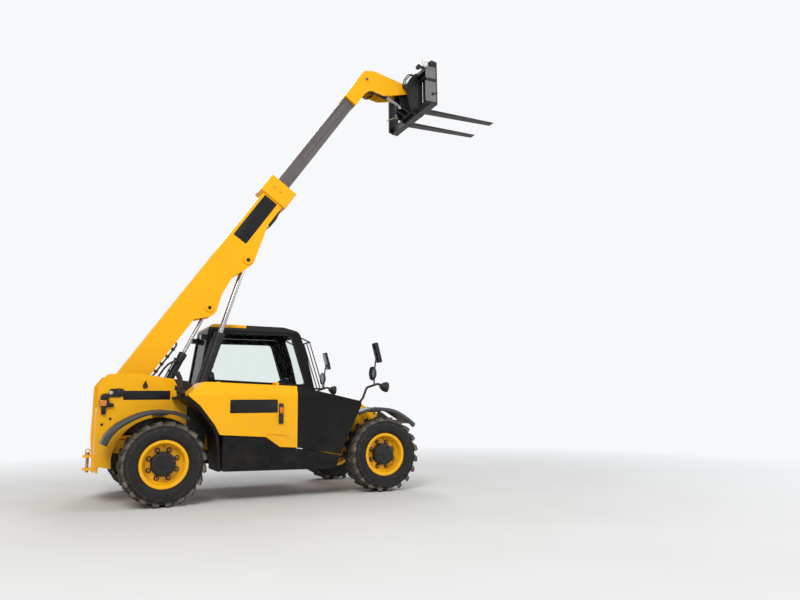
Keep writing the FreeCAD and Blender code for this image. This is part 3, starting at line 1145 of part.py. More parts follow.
# Tank with a step under the cab
def tank():
    top = CAB_BOTTOM_Z - GAP
    rear_x, front_x = CAB_REAR_X + 140, CAB_FRONT_X - 185
    body = front_prism([(RAIL_OUTER_Y + 90, top - 140, 30), (CAB_OUTER_Y - 35, top - 140, 40),
                        (CAB_OUTER_Y - 20, top, 10), (RAIL_OUTER_Y + 20, top, 10)], rear_x, front_x)
    step = block(CAB_REAR_X + 520, CAB_FRONT_X - 425, CAB_OUTER_Y - 100, CAB_OUTER_Y, top - 95, top + 5)
    keep("fuel_tank", body.cut(step))


# Lamps and mirrors
def lamp(centre, direction, radius, depth):
    """Round lamp body whose lens faces along a direction."""
    along = vec(*direction)
    along.normalize()
    body = Part.makeCylinder(radius, depth, centre, along)
    back = Part.makeCone(radius * 0.55, radius, depth * 0.7, centre - along * (depth * 0.7), along)
    return fused([body, back])


def front_lamps():
    """Headlamp and mirrors on a stalk at each front corner."""
    y = -POD_OUTER_Y + 70
    x, z = POD_FRONT_X, POD_TOP
    bends = [vec(x, y, z - 204), vec(x + 60, y, z - 129), vec(x + 105, y, z - 14), vec(x + 245, y, z + 29),
             vec(x + 325, y, z + 7)]
    pod_face = side_prism(inset(POD_FRONT_OUTLINE, -GAP), -POD_OUTER_Y, 0)
    right_stalk = bent_bar(bends, 26, STALK_RADIUS).cut(pod_face)
    left_bends = [vec(CAB_FRONT_X - 20, y, z - 11), vec(x + 114, y, z - 11)] + bends[3:]
    left_stalk = mirrored(bent_bar(left_bends, 26, STALK_RADIUS)).cut(cab_solid(-GAP))
    head = lamp(vec(x + 335, y, z - 9), (1, 0, -0.1), 46, 40)
    keep("headlamps", together([fused([right_stalk, head]), fused([left_stalk, mirrored(head)])]))
    riser = rod(vec(x + 201, y, z + 11), vec(x + 209, y, z + 311), 9)
    dish = lamp(vec(x + 199, y, z + 149), (-1, 0, 0), 80, 18)
    tall = side_prism(moved([(193, 281, 10), (255, 273, 10), (213, 517, 10), (189, 511, 10)], x, z),
                      y - 60, y + 60)
    mirrors = fused([riser, dish, tall]).cut(rod(bends[2], bends[3], STALK_RADIUS + GAP))
    keep("mirrors", together(both_sides(mirrors)))


def rear_lamps():
    """Amber lamps outside the rear frame plates, and lamps high on the cab's rear."""
    outer = REAR_PLATE_Y + GAP
    bracket_outline = [(-575, 570, 6), (-540, 545, 6), (-490, 615, 6), (-510, 641, 6), (-560, 635, 6)]
    bracket = side_prism(moved(bracket_outline, REAR_AXLE_X, AXLE_Z), -REAR_PLATE_Y - 34, -outer)
    bulb = Part.makeCylinder(34, 46, vec(REAR_AXLE_X - 542, -outer, AXLE_Z + 667), vec(0, -1, 0))
    shapes = both_sides(fused([bracket, bulb]))
    x, z = CAB_REAR_X + 76, CAB_TOP_Z - 160
    for y in (CAB_INNER_Y + 60, CAB_OUTER_Y - 60):
        body = block(x - 60, x, y - 45, y + 45, z - 30, z + 30)
        arm = rod(vec(x - 20, y, z), vec(x + 20, y, z), 8)
        shapes.append(fused([body, arm]).cut(cab_solid(-GAP)))
    keep("rear_lamps", together(shapes))


# Hoses
def hoses():
    """Hose pair clipped under the boom's root, and a loop on each side inside the nose."""
    s0, s1 = SLAVE_PIN_S - 1009, SLAVE_PIN_S - 539
    top, low = BOOM_FLOOR - BOOM_WALL - GAP, BOOM_BOTTOM - HOSE_DROP
    side_y = BOOM_WIDTH / 2
    run = []
    for y in (side_y - 23, side_y - 45):
        points = [vec(s0, -y, top), vec(s0, -y, low), vec(s1, -y, low), vec(s1, -y, top)]
        run.append(bent_bar(points, 45, HOSE_RADIUS))
    for i in range(HOSE_CLIPS):
        s = s0 + 70 + i * (s1 - s0 - 165) / (HOSE_CLIPS - 1)
        run.append(block(s, s + 25, -side_y, -side_y + 56, low - HOSE_RADIUS - 5, BOOM_BOTTOM - GAP))
    keep("boom_hoses", raised(fused(run)))
    y = HEAD_WIDTH / 2 - HEAD_PLATE - 2 * HOSE_RADIUS
    top = INNER_TOP - 24 - GAP
    s0, s1 = TILT_BASE_S - 110, TILT_BASE_S + 50
    loop = bent_bar([vec(s0, -y, top), vec(s0, -y, top - 230), vec(s1, -y, top - 280), vec(s1, -y, top)],
                    45, HOSE_RADIUS)
    keep("head_hoses", raised(together(both_sides(loop))))


def build():
    wheels()
    chassis()
    front_frame()
    pins()
    ram_mounts()
    rams()
    outer_boom()
    boom_collar()
    wear_pads()
    inner_boom()
    boom_head()
    carriage()
    forks()
    pod()
    exhaust()
    mudguards()
    hitch()
    cab()
    seat()
    dashboard()
    windscreen_guard()
    tank()
    front_lamps()
    rear_lamps()
    hoses()


build()
os.makedirs("parts", exist_ok=True)
for piece_name, piece_shape in PIECES.items():
    if not piece_shape.isValid():
        print("not valid:", piece_name)
    piece_shape.exportStep(f"parts/{piece_name}.step")
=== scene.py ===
# %% [markdown]
# A compact telehandler, dressed around its imported CAD model.

# %% Load the frame
import math

import bmesh
import bpy
from mathutils import Matrix, Vector


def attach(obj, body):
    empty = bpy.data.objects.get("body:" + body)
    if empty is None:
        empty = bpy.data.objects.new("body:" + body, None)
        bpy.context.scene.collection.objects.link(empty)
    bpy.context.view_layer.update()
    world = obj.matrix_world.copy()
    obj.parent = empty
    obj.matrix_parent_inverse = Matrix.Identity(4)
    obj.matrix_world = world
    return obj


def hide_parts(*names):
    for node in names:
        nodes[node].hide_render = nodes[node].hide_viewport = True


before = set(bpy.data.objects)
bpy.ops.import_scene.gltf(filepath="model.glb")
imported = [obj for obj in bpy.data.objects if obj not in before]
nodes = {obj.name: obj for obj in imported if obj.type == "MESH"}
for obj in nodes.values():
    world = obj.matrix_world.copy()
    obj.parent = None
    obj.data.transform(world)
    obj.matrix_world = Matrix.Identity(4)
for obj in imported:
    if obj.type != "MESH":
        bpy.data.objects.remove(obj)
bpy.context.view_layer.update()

# %% [markdown]
# The drawing of the machine has its zero midway between the axles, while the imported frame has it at
# the centre of the base. One helper turns drawing places, in metres, into frame places, and a second
# one turns places along the raised boom: s from its pivot to the nose, t from its axis to its top.

# %% Places
CENTRE_X = 0.684158
BOOM_ANGLE = math.radians(55)
BOOM_PIVOT = (-1.6, 1.13)
WHEEL_X = 1.21
WHEEL_Y = 0.7675
WHEEL_Z = 0.415


def at(x, y, z):
    return Vector((x - CENTRE_X, y, z))


def on_boom(s, y, t):
    cosine, sine = math.cos(BOOM_ANGLE), math.sin(BOOM_ANGLE)
    return at(BOOM_PIVOT[0] + s * cosine - t * sine, y, BOOM_PIVOT[1] + s * sine + t * cosine)


BOOM_FRAME = Matrix.Translation(on_boom(0, 0, 0)) @ Matrix.Rotation(-BOOM_ANGLE, 4, "Y")

# %% [markdown]
# The camera comes first. It stands low on the machine's right, a little behind it, and looks up at
# the raised boom. The position, the turn and the lens were solved from the wheels in the picture.

# %% Camera
CAMERA_PLACE = at(-2.2517, -8.1419, 0.9782)
YAW, PITCH, ROLL = math.radians(26.885), math.radians(8.658), math.radians(-0.621)
IMAGE_WIDTH = 800
FOCAL_PIXELS = 685.5

forward = Vector((math.sin(YAW) * math.cos(PITCH), math.cos(YAW) * math.cos(PITCH), math.sin(PITCH)))
level_right = Vector((math.cos(YAW), -math.sin(YAW), 0))
level_up = level_right.cross(forward)
right = level_right * math.cos(ROLL) + level_up * math.sin(ROLL)
up = level_up * math.cos(ROLL) - level_right * math.sin(ROLL)

camera_data = bpy.data.cameras.new("camera")
camera_data.sensor_width = 36
camera_data.lens = camera_data.sensor_width * FOCAL_PIXELS / IMAGE_WIDTH
camera_data.clip_end = 200
camera = bpy.data.objects.new("camera", camera_data)
camera.matrix_world = Matrix((
    (right.x, up.x, -forward.x, CAMERA_PLACE.x),
    (right.y, up.y, -forward.y, CAMERA_PLACE.y),
    (right.z, up.z, -forward.z, CAMERA_PLACE.z),
    (0, 0, 0, 1)))
bpy.context.scene.collection.objects.link(camera)
bpy.context.scene.camera = camera
print("lens:", round(camera_data.lens, 2), "mm")

# %% [markdown]
# Light: a pale world that the camera sees as near white, one broad soft lamp from the upper left of
# the picture, and two weaker ones from the other sides. The world's colour for the camera is kept
# apart from its light by the ray's kind, so the backdrop can be pale without washing out the paint.

# %% World and lamps
scene = bpy.context.scene
scene.view_settings.view_transform = "Standard"
world = bpy.data.worlds.new("pale_sky")
scene.world = world
world.use_nodes = True
sky = world.node_tree
background = sky.nodes["Background"]
background.inputs["Color"].default_value = (0.80, 0.84, 0.90, 1)
background.inputs["Strength"].default_value = 0.55
PALE = (0.93, 0.94, 0.96, 1)
bright = sky.nodes.new("ShaderNodeBackground")
bright.inputs["Color"].default_value = PALE
bright.inputs["Strength"].default_value = 1.0


def seen_rays(tree):
    """1 for what the camera sees, also in a reflection or through glass, and 0 for lighting."""
    ray = tree.nodes.new("ShaderNodeLightPath")
    total = ray.outputs["Is Camera Ray"]
    for kind in ("Is Glossy Ray", "Is Transmission Ray"):
        adder = tree.nodes.new("ShaderNodeMath")
        adder.operation = "MAXIMUM"
        tree.links.new(total, adder.inputs[0])
        tree.links.new(ray.outputs[kind], adder.inputs[1])
        total = adder.outputs[0]
    return total


chooser = sky.nodes.new("ShaderNodeMixShader")
sky.links.new(seen_rays(sky), chooser.inputs["Fac"])
sky.links.new(background.outputs[0], chooser.inputs[1])
sky.links.new(bright.outputs[0], chooser.inputs[2])
sky.links.new(chooser.outputs[0], sky.nodes["World Output"].inputs["Surface"])


def area_lamp(name, place, target, size, power, colour):
    data = bpy.data.lights.new(name, "AREA")
    data.shape = "DISK"
    data.size = size
    data.energy = power
    data.color = colour
    lamp = bpy.data.objects.new(name, data)
    lamp.location = place
    lamp.rotation_mode = "QUATERNION"
    lamp.rotation_quaternion = (target - place).to_track_quat("-Z", "Y")
    scene.collection.objects.link(lamp)


MIDDLE = at(0.2, 0, 1.6)
LAMP_SIZE = 6.0
area_lamp("soft_key", at(-5.5, -8.5, 9.0), MIDDLE, LAMP_SIZE, 940, (1.0, 0.97, 0.92))
area_lamp("soft_fill", at(8.0, -6.0, 5.0), MIDDLE, LAMP_SIZE, 340, (0.92, 0.96, 1.0))
area_lamp("soft_back", at(2.0, 9.0, 8.0), MIDDLE, LAMP_SIZE, 420, (1.0, 1.0, 1.0))

# %% [markdown]
# Materials are small node trees. An image could be wrapped round each piece instead, but a machine
# has hundreds of faces with no unwrapping, so patterns are computed from the place in space. Each
# finish starts from the same principled shader; a helper adds a node and links its inputs, so that
# a finish reads as a short recipe. Object coordinates stay fixed to the piece when it moves.

# %% Material helpers
class Finish:
    """One procedural material: a principled shader with helpers that add nodes."""

    def __init__(self, name, colour, roughness, **sockets):
        self.material = bpy.data.materials.new(name)
        self.material.use_nodes = True
        self.tree = self.material.node_tree
        self.shader = self.tree.nodes["Principled BSDF"]
        self.place = self.tree.nodes.new("ShaderNodeTexCoord").outputs["Object"]
        self.set(**{"Base Color": (*colour, 1), "Roughness": roughness})
        self.set(**{key.replace("_", " "): value for key, value in sockets.items()})
        self.material.diffuse_color = (*colour, 1)

    def set(self, **sockets):
        for key, value in sockets.items():
            self.shader.inputs[key].default_value = value

    def node(self, kind, links=None, **settings):
        made = self.tree.nodes.new(kind)
        for key, value in settings.items():
            setattr(made, key, value)
        for key, value in (links or {}).items():
            if isinstance(value, bpy.types.NodeSocket):
                self.tree.links.new(value, made.inputs[key])
            else:
                made.inputs[key].default_value = value
        return made

    def noise(self, scale, detail=4.0, roughness=0.5, offset=0.0):
        place = self.place
        if offset:
            shift = (offset, offset, offset)
            place = self.node("ShaderNodeMapping", {"Vector": place, "Location": shift}).outputs[0]
        return self.node("ShaderNodeTexNoise", {"Vector": place, "Scale": scale, "Detail": detail,
                                                "Roughness": roughness}).outputs["Fac"]

    def ramp(self, value, low, high, out_low=0.0, out_high=1.0):
        return self.node("ShaderNodeMapRange", {"Value": value, "From Min": low, "From Max": high,
                                                "To Min": out_low, "To Max": out_high}).outputs[0]

    def math(self, operation, a, b=0.0):
        return self.node("ShaderNodeMath", {0: a, 1: b}, operation=operation).outputs[0]

    def mix(self, factor, a, b):
        mixer = self.node("ShaderNodeMix", data_type="RGBA")
        for key, value in ((0, factor), (6, a), (7, b)):
            if isinstance(value, bpy.types.NodeSocket):
                self.tree.links.new(value, mixer.inputs[key])
            elif key == 0:
                mixer.inputs[key].default_value = value
            else:
                mixer.inputs[key].default_value = (*value, 1)
        return mixer.outputs[2]

    def along(self, axis):
        """Place of a point along X, Y or Z of the frame, in metres."""
        return self.node("ShaderNodeSeparateXYZ", {0: self.place}).outputs[axis]

    def height(self):
        return self.along("Z")

    def beyond(self, value, limit):
        """1 where a value is past a limit, 0 before it, with a crisp edge."""
        return self.math("GREATER_THAN", value, limit)

    def edges(self, width=0.012):
        """Near 1 along convex edges, near 0 on flat faces."""
        bevel = self.node("ShaderNodeBevel", {"Radius": width}, samples=4)
        plain = self.node("ShaderNodeNewGeometry").outputs["Normal"]
        turn = self.node("ShaderNodeVectorMath", {0: bevel.outputs[0], 1: plain}, operation="DOT_PRODUCT")
        return self.ramp(turn.outputs["Value"], 0.995, 0.90)

    def colour(self, socket):
        self.tree.links.new(socket, self.shader.inputs["Base Color"])

    def rough(self, socket):
        self.tree.links.new(socket, self.shader.inputs["Roughness"])

    def bump(self, height, strength, distance=0.002):
        made = self.node("ShaderNodeBump", {"Height": height, "Strength": strength, "Distance": distance})
        self.tree.links.new(made.outputs[0], self.shader.inputs["Normal"])


DUST = (0.36, 0.29, 0.21)


def dusty(finish, base, amount=0.5, top=1.1):
    """Adds site dust: patchy, and thicker towards the ground."""
    low = finish.ramp(finish.height(), top, 0.05, 0.0, 1.0)
    patch = finish.ramp(finish.noise(7.0, 6.0, 0.62), 0.40, 0.75)
    fine = finish.ramp(finish.noise(55.0, 4.0, 0.7), 0.35, 0.8, 0.4, 1.0)
    cover = finish.math("MULTIPLY", finish.math("MULTIPLY", low, patch), fine)
    cover = finish.math("MULTIPLY", cover, amount)
    return finish.mix(cover, base, DUST), cover

# %% [markdown]
# Painted steel: gloss paint has a faint orange-peel skin, small differences of tone and site dust
# near the ground. A thin clear coat gives the gloss without making the colour itself shine.

# %% Paint
def paint(name, colour, tone, roughness, coat, dust=0.45, shine=0.5, black_where=None):
    made = Finish(name, colour, roughness, Coat_Weight=coat, Coat_Roughness=0.12, Specular_IOR_Level=shine)
    drift = made.mix(made.ramp(made.noise(1.7, 3.0), 0.3, 0.7), colour, tone)
    if black_where:
        drift = made.mix(black_where(made), drift, BLACK)
    coated, cover = dusty(made, drift, dust)
    made.colour(coated)
    worn = made.ramp(made.noise(24.0, 3.0), 0.3, 0.7, roughness - 0.05, roughness + 0.08)
    made.rough(made.math("ADD", worn, made.math("MULTIPLY", cover, 0.45)))
    made.bump(made.noise(260.0, 2.0), 0.06, 0.0006)
    return made.material


YELLOW = (0.94, 0.455, 0.0)
YELLOW_TONE = (0.90, 0.425, 0.0)
BLACK = (0.011, 0.011, 0.012)
GLOSS = (0.38, 0.14, 0.3, 0.22)
yellow_paint = paint("yellow_paint", YELLOW, YELLOW_TONE, *GLOSS)
black_paint = paint("black_paint", BLACK, (0.013, 0.0125, 0.0125), 0.45, 0.06, 0.25, 0.3)


def roof_black(made):
    """The roof skin is yellow only at its rear and above its seam."""
    ahead = made.beyond(made.along("X"), -0.155 - CENTRE_X)
    below = made.math("LESS_THAN", made.height(), 1.922)
    return made.math("MAXIMUM", ahead, below)


def frame_black(made):
    """Ahead of the wheel arch the side plate is black; the edge of the black leans back."""
    lean = made.math("MULTIPLY", made.math("MAXIMUM", made.math("SUBTRACT", made.height(), 1.03), 0.0), 0.6)
    ahead = made.beyond(made.math("ADD", made.along("X"), lean), -0.93 - CENTRE_X)
    outside = made.beyond(made.math("ABSOLUTE", made.along("Y")), 0.36)
    return made.math("MULTIPLY", ahead, outside)


roof_paint = paint("roof_paint", YELLOW, YELLOW_TONE, *GLOSS, black_where=roof_black)
frame_paint = paint("frame_paint", YELLOW, YELLOW_TONE, *GLOSS, black_where=frame_black)
hub_black = paint("hub_black", (0.010, 0.010, 0.011), (0.014, 0.014, 0.014), 0.5, 0.0, 0.10, 0.3)
# Flat grey for the carriage upright's two grey faces.
plain_grey = paint("plain_grey", (0.12, 0.118, 0.116), (0.17, 0.165, 0.16), 0.55, 0.0, 0.0, 0.4)
# Dark brown: the frame eyes' own colour, and painted shade in the ram pin holes.
rust_brown_and_hole_shade = paint("rust_brown_and_hole_shade", (0.055, 0.020, 0.006), (0.025, 0.010, 0.005), 0.6, 0.0, 0.0, 0.3)
axle_paint = paint("axle_paint", (0.022, 0.021, 0.020), (0.04, 0.036, 0.032), 0.6, 0.0, 0.7, 0.25)

# %% [markdown]
# Moulded plastic has a fine leathery grain that catches the light as a soft sheen, and it greys a
# little with dust. Rubber is duller, and a tyre's tread is brown with what it has rolled over.

# %% Plastic and rubber
def plastic(name, colour, roughness, grain=900.0, dust=0.45, shine=0.3):
    made = Finish(name, colour, roughness, Specular_IOR_Level=shine)
    coated, cover = dusty(made, colour, dust)
    made.colour(coated)
    made.rough(made.math("ADD", made.ramp(made.noise(12.0), 0.3, 0.7, roughness - 0.05, roughness + 0.06),
                         made.math("MULTIPLY", cover, 0.3)))
    made.bump(made.noise(grain, 3.0, 0.6), 0.22, 0.0008)
    return made.material


panel_plastic = plastic("panel_plastic", (0.0055, 0.0055, 0.006), 0.40, dust=0.12, shine=0.14)
trim_plastic = plastic("trim_plastic", (0.018, 0.018, 0.019), 0.55)
guard_plastic = plastic("guard_plastic", (0.028, 0.029, 0.031), 0.42, dust=0.25, shine=0.4)
strap_plastic = plastic("strap_plastic", (0.50, 0.52, 0.40), 0.5, 500.0, 0.0)
blank_panel = plastic("blank_panel", (0.006, 0.006, 0.007), 0.34, 300.0, 0.08, 0.25)


def tyre_rubber():
    made = Finish("tyre_rubber", (0.020, 0.019, 0.019), 0.82, Specular_IOR_Level=0.25)
    scuffs_and_edge_highlight = made.mix(made.ramp(made.noise(16.0, 6.0, 0.65), 0.42, 0.72),
                      (0.016, 0.015, 0.015), (0.026, 0.025, 0.024))
    # Lighter brown on the lugs' convex edges: partly scuffed rubber, partly a painted highlight where the
    # edges catch the light.
    edge = made.math("MULTIPLY", made.edges(0.01), made.ramp(made.noise(40.0, 3.0), 0.35, 0.6))
    scuffs_and_edge_highlight = made.mix(made.math("MULTIPLY", edge, 0.5), scuffs_and_edge_highlight, (0.13, 0.115, 0.10))
    x = made.math("SUBTRACT", made.math("ABSOLUTE", made.math("ADD", made.along("X"), CENTRE_X)), WHEEL_X)
    spot = made.node("ShaderNodeCombineXYZ", {0: x, 1: 0.0, 2: made.math("SUBTRACT", made.height(), WHEEL_Z)})
    reach = made.node("ShaderNodeVectorMath", {0: spot.outputs[0]}, operation="LENGTH").outputs["Value"]
    tread = made.math("MULTIPLY", made.ramp(reach, 0.372, 0.384), made.ramp(reach, 0.414, 0.392, 0.35, 1.0))
    caked = made.ramp(made.noise(9.0, 5.0, 0.6, offset=3.0), 0.35, 0.62, 0.25, 0.85)
    made.colour(made.mix(made.math("MULTIPLY", tread, caked), scuffs_and_edge_highlight, (0.21, 0.175, 0.135)))
    made.bump(made.noise(180.0, 4.0, 0.7), 0.35, 0.0015)
    return made.material


tyre_skin = tyre_rubber()
hose_rubber = plastic("hose_rubber", (0.014, 0.014, 0.015), 0.5, 500.0, 0.3)
seal_rubber = plastic("seal_rubber", (0.010, 0.010, 0.010), 0.6, 400.0, 0.15)

# %% [markdown]
# Bare metal: chromed rods, turned pins, the grey-brown greased inner boom with streaks along its
# length, cast iron, and the exhaust's heat-stained steel.

# %% Metals
def metal(name, colour, roughness, dull=0.1, stain=None):
    made = Finish(name, colour, roughness, Metallic=1.0)
    streak = made.noise(90.0, 3.0)
    made.rough(made.ramp(streak, 0.3, 0.7, roughness, roughness + dull))
    if stain:
        made.colour(made.mix(made.ramp(made.noise(14.0, 5.0), 0.45, 0.7), colour, stain))
    made.bump(streak, 0.08, 0.0006)
    return made.material


chrome = metal("hard_chrome", (0.44, 0.45, 0.46), 0.12, dull=0.06)
pin_steel = metal("pin_steel", (0.56, 0.55, 0.53), 0.26, dull=0.14, stain=(0.36, 0.32, 0.28))
dark_steel = metal("dark_steel", (0.16, 0.15, 0.14), 0.38, dull=0.2, stain=(0.09, 0.075, 0.06))
hitch_steel = metal("hitch_steel", (0.50, 0.36, 0.16), 0.35, dull=0.2, stain=(0.30, 0.20, 0.10))
exhaust_steel = paint("exhaust_steel", (0.016, 0.015, 0.014), (0.035, 0.026, 0.020), 0.5, 0.0, 0.2, 0.3)
mirror_glass = metal("mirror_glass", (0.16, 0.17, 0.18), 0.05, dull=0.02)


def greased_boom():
    made = Finish("greased_boom", (0.090, 0.080, 0.078), 0.42, Coat_Weight=0.15, Coat_Roughness=0.3)
    turn = made.node("ShaderNodeVectorRotate", {"Vector": made.place, "Axis": (0, 1, 0), "Angle": BOOM_ANGLE},
                     rotation_type="AXIS_ANGLE")
    tilt = made.node("ShaderNodeMapping", {"Vector": turn.outputs[0], "Scale": (1.0, 30.0, 30.0)})
    streak = made.node("ShaderNodeTexNoise", {"Vector": tilt.outputs[0], "Scale": 1.6,
                                              "Detail": 5.0}).outputs["Fac"]
    base = made.mix(made.ramp(streak, 0.35, 0.68), (0.070, 0.061, 0.059), (0.120, 0.106, 0.101))
    made.colour(made.mix(made.ramp(made.noise(5.0, 4.0), 0.55, 0.8), base, (0.060, 0.052, 0.050)))
    made.rough(made.ramp(streak, 0.3, 0.7, 0.34, 0.52))
    made.bump(streak, 0.12, 0.0008)
    return made.material


inner_boom_skin = greased_boom()


def cast():
    made = Finish("cast_iron", (0.07, 0.07, 0.072), 0.7, Metallic=0.4)
    made.bump(made.noise(220.0, 4.0, 0.7), 0.5, 0.002)
    made.colour(made.mix(made.ramp(made.noise(9.0, 5.0), 0.4, 0.7), (0.06, 0.06, 0.062), (0.11, 0.09, 0.075)))
    return made.material


cast_iron = cast()


def nylon():
    made = Finish("worn_nylon", (0.52, 0.48, 0.38), 0.5, Subsurface_Weight=0.05)
    made.colour(made.mix(made.ramp(made.noise(30.0, 4.0), 0.45, 0.7), (0.52, 0.48, 0.38), (0.24, 0.20, 0.15)))
    return made.material


pad_nylon = nylon()

# %% [markdown]
# Glass panes are thin and a little smoky, with a faint film of dust. Lamp lenses are opaque tinted
# plastic; their light colour holds the tint and a painted reflection of the bright reflector behind.

# %% Glass and lenses
def glass(name, colour, roughness, film=0.12):
    made = Finish(name, colour, roughness, Transmission_Weight=1.0, IOR=1.05)
    made.rough(made.ramp(made.noise(6.0, 5.0), 0.45, 0.8, roughness, roughness + film))
    return made.material


window_glass = glass("window_glass", (0.90, 0.94, 0.92), 0.0, 0.03)


def lens(name, colour):
    made = Finish(name, colour, 0.14, Coat_Weight=0.6, Coat_Roughness=0.05, Specular_IOR_Level=0.6)
    rings = made.noise(120.0, 1.0)
    made.colour(made.mix(made.ramp(rings, 0.35, 0.65), colour, tuple(c * 0.6 for c in colour)))
    made.bump(rings, 0.3, 0.002)
    return made.material


# Lens colours are the tint plus a painted reflection of a lamp reflector, which is not modelled.
amber_lens = lens("amber_lens", (0.85, 0.24, 0.01))
red_lens = lens("red_lens", (0.55, 0.012, 0.010))
clear_lens = lens("clear_lens", (0.70, 0.72, 0.74))
orange_plastic = plastic("orange_plastic", (0.80, 0.16, 0.012), 0.4, 500.0, 0.1)

# %% [markdown]
# Seat cloth is woven: two crossed waves at the real pitch of a few millimetres make the over and
# under of the threads, and a little sheen lifts it at grazing angles.

# %% Seat cloth
def seat_cloth():
    made = Finish("seat_cloth", (0.055, 0.057, 0.062), 0.9, Sheen_Weight=0.35, Sheen_Roughness=0.5)
    thread = {"Vector": made.place, "Scale": 110.0, "Distortion": 0.4}
    warp, weft = (made.node("ShaderNodeTexWave", thread, bands_direction=axis).outputs["Fac"]
                  for axis in "YX")
    weave = made.math("MULTIPLY", warp, weft)
    made.colour(made.mix(weave, (0.035, 0.036, 0.040), (0.085, 0.088, 0.095)))
    made.bump(weave, 0.5, 0.001)
    return made.material


cloth = seat_cloth()

# %% [markdown]
# Every CAD node gets its finish by name. The table follows the real machine: yellow sheet steel,
# black mouldings, dark axles, chromed rods.

# %% Finishes of the CAD nodes
NODE_FINISHES = [
    (yellow_paint, ["front_frame", "boom_outer", "boom_collar", "boom_head", "tow_hitch",
                     "engine_cover", "engine_bulkhead", "rim_front_left", "rim_front_right",
                     "rim_rear_left", "rim_rear_right"]),
    (roof_paint, ["cab_roof"]),
    (frame_paint, ["chassis"]),
    (panel_plastic, ["pod_front", "pod_sill", "arch_panel", "mudguards",
                      "cab_frame", "cab_door", "fuel_tank"]),
    (black_paint, ["carriage", "forks", "ram_mounts", "windscreen_guard",
                    "lift_ram_barrel", "slave_ram_barrel", "tilt_ram_barrel", "boom_pivot_pin",
                    "headlamps", "rear_lamps"]),
    (axle_paint, ["axle_front", "axle_rear", "knuckle_front_left", "knuckle_front_right",
                   "knuckle_rear_left", "knuckle_rear_right"]),
    (tyre_skin, ["tyre_front_left", "tyre_front_right", "tyre_rear_left", "tyre_rear_right"]),
    (chrome, ["lift_ram_rod", "slave_ram_rod", "tilt_ram_rod"]),
    (dark_steel, ["head_pins"]),
    (hitch_steel, ["tow_pin"]),
    (inner_boom_skin, ["boom_inner"]),
    (pad_nylon, ["wear_pads"]),
    (cast_iron, ["engine"]),
    (exhaust_steel, ["exhaust"]),
    (window_glass, ["cab_glass", "door_glass"]),
    (cloth, ["seat_cushion", "seat_back"]),
    (hose_rubber, ["boom_hoses", "head_hoses"]),
    (trim_plastic, ["seat_base", "dashboard", "steering_wheel", "mirrors"]),
]
for finish, wearers in NODE_FINISHES:
    for node_name in wearers:
        piece = nodes[node_name]
        piece.data.materials.clear()
        piece.data.materials.append(finish)
dressed = {name for finish, wearers in NODE_FINISHES for name in wearers}
print("nodes without a finish:", sorted(set(nodes) - dressed))

# %% [markdown]
# New pieces are drawn as a bmesh: a few vertices or a simple form, shaped by operators. One helper
# ends each of them: it turns the faces outwards, keeps corners above 35 degrees crisp while the rest
# shades smoothly, gives the finish and lets the piece ride on its body.

# %% Ending a piece
SHARP = math.radians(35)


def end_piece(name, form, finish, body, second=None):
    bmesh.ops.recalc_face_normals(form, faces=form.faces[:])
    for face in form.faces:
        face.smooth = True
    for edge in form.edges:
        edge.smooth = len(edge.link_faces) != 2 or edge.calc_face_angle(0) < SHARP
    mesh = bpy.data.meshes.new(name)
    form.to_mesh(mesh)
    form.free()
    made = bpy.data.objects.new(name, mesh)
    scene.collection.objects.link(made)
    mesh.materials.append(finish)
    if second:
        mesh.materials.append(second)
    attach(made, body)
    print(name, "on", body, "faces:", len(mesh.polygons))
    return made


def joined(form, part, matrix=None, mark=0):
    """Moves a finished part into a form, turned and placed by a matrix."""
    for face in part.faces:
        face.material_index = mark
    if matrix is not None:
        bmesh.ops.transform(part, matrix=matrix, verts=part.verts[:])
    carrier = bpy.data.meshes.new("carrier")
    part.to_mesh(carrier)
    part.free()
    form.from_mesh(carrier)
    bpy.data.meshes.remove(carrier)

# %% [markdown]
# Four plain helpers make most hardware. A lathe's work is a profile spun round an axis; its last
# points are merged with its first. Boxes, bars and plates are sawn and drilled stock: a cube, a
# cylinder or a flat outline, with the edges broken by a small bevel that catches the light.

# %% Spun, boxed, turned and cut forms
def spun(form, profile, matrix=None, steps=64):
    """Turns a profile of (along, radius) points round the local Y axis."""
    part = bmesh.new()
    verts = [part.verts.new((radius, along, 0)) for along, radius in profile]
    edges = [part.edges.new(pair) for pair in zip(verts, verts[1:])]
    bmesh.ops.spin(part, geom=verts + edges, cent=(0, 0, 0), axis=(0, 1, 0), dvec=(0, 0, 0),
                   angle=2 * math.pi, steps=steps, space=Matrix.Identity(4), use_merge=True)
    bmesh.ops.remove_doubles(part, verts=part.verts[:], dist=1e-5)
    joined(form, part, matrix)


def rounded_off(part, width, segments, edges):
    if width:
        bmesh.ops.bevel(part, geom=edges, offset=width, segments=segments, profile=0.5,
                        affect="EDGES", material=-1)


def boxed(form, low, high, matrix=None, bevel=0.0, segments=2, mark=0):
    """Box between two corners, with its edges rounded."""
    part = bmesh.new()
    low, high = Vector(low), Vector(high)
    place = Matrix.Translation((low + high) / 2) @ Matrix.Diagonal((*(high - low), 1))
    bmesh.ops.create_cube(part, size=1, matrix=place)
    rounded_off(part, bevel, segments, part.edges[:])
    joined(form, part, matrix, mark)


def turned_bar(form, start, end, radius, segments=20, bevel=0.0, mark=0):
    """Round or many-sided bar between two points."""
    part = bmesh.new()
    start, end = Vector(start), Vector(end)
    along = end - start
    place = Matrix.Translation((start + end) / 2) @ along.to_track_quat("Z", "Y").to_matrix().to_4x4()
    bmesh.ops.create_cone(part, cap_ends=True, segments=segments, radius1=radius, radius2=radius,
                          depth=along.length, matrix=place)
    caps = [face for face in part.faces if len(face.verts) == segments and segments > 4]
    rounded_off(part, bevel, 2, list({edge for face in caps for edge in face.edges}))
    joined(form, part, None, mark)


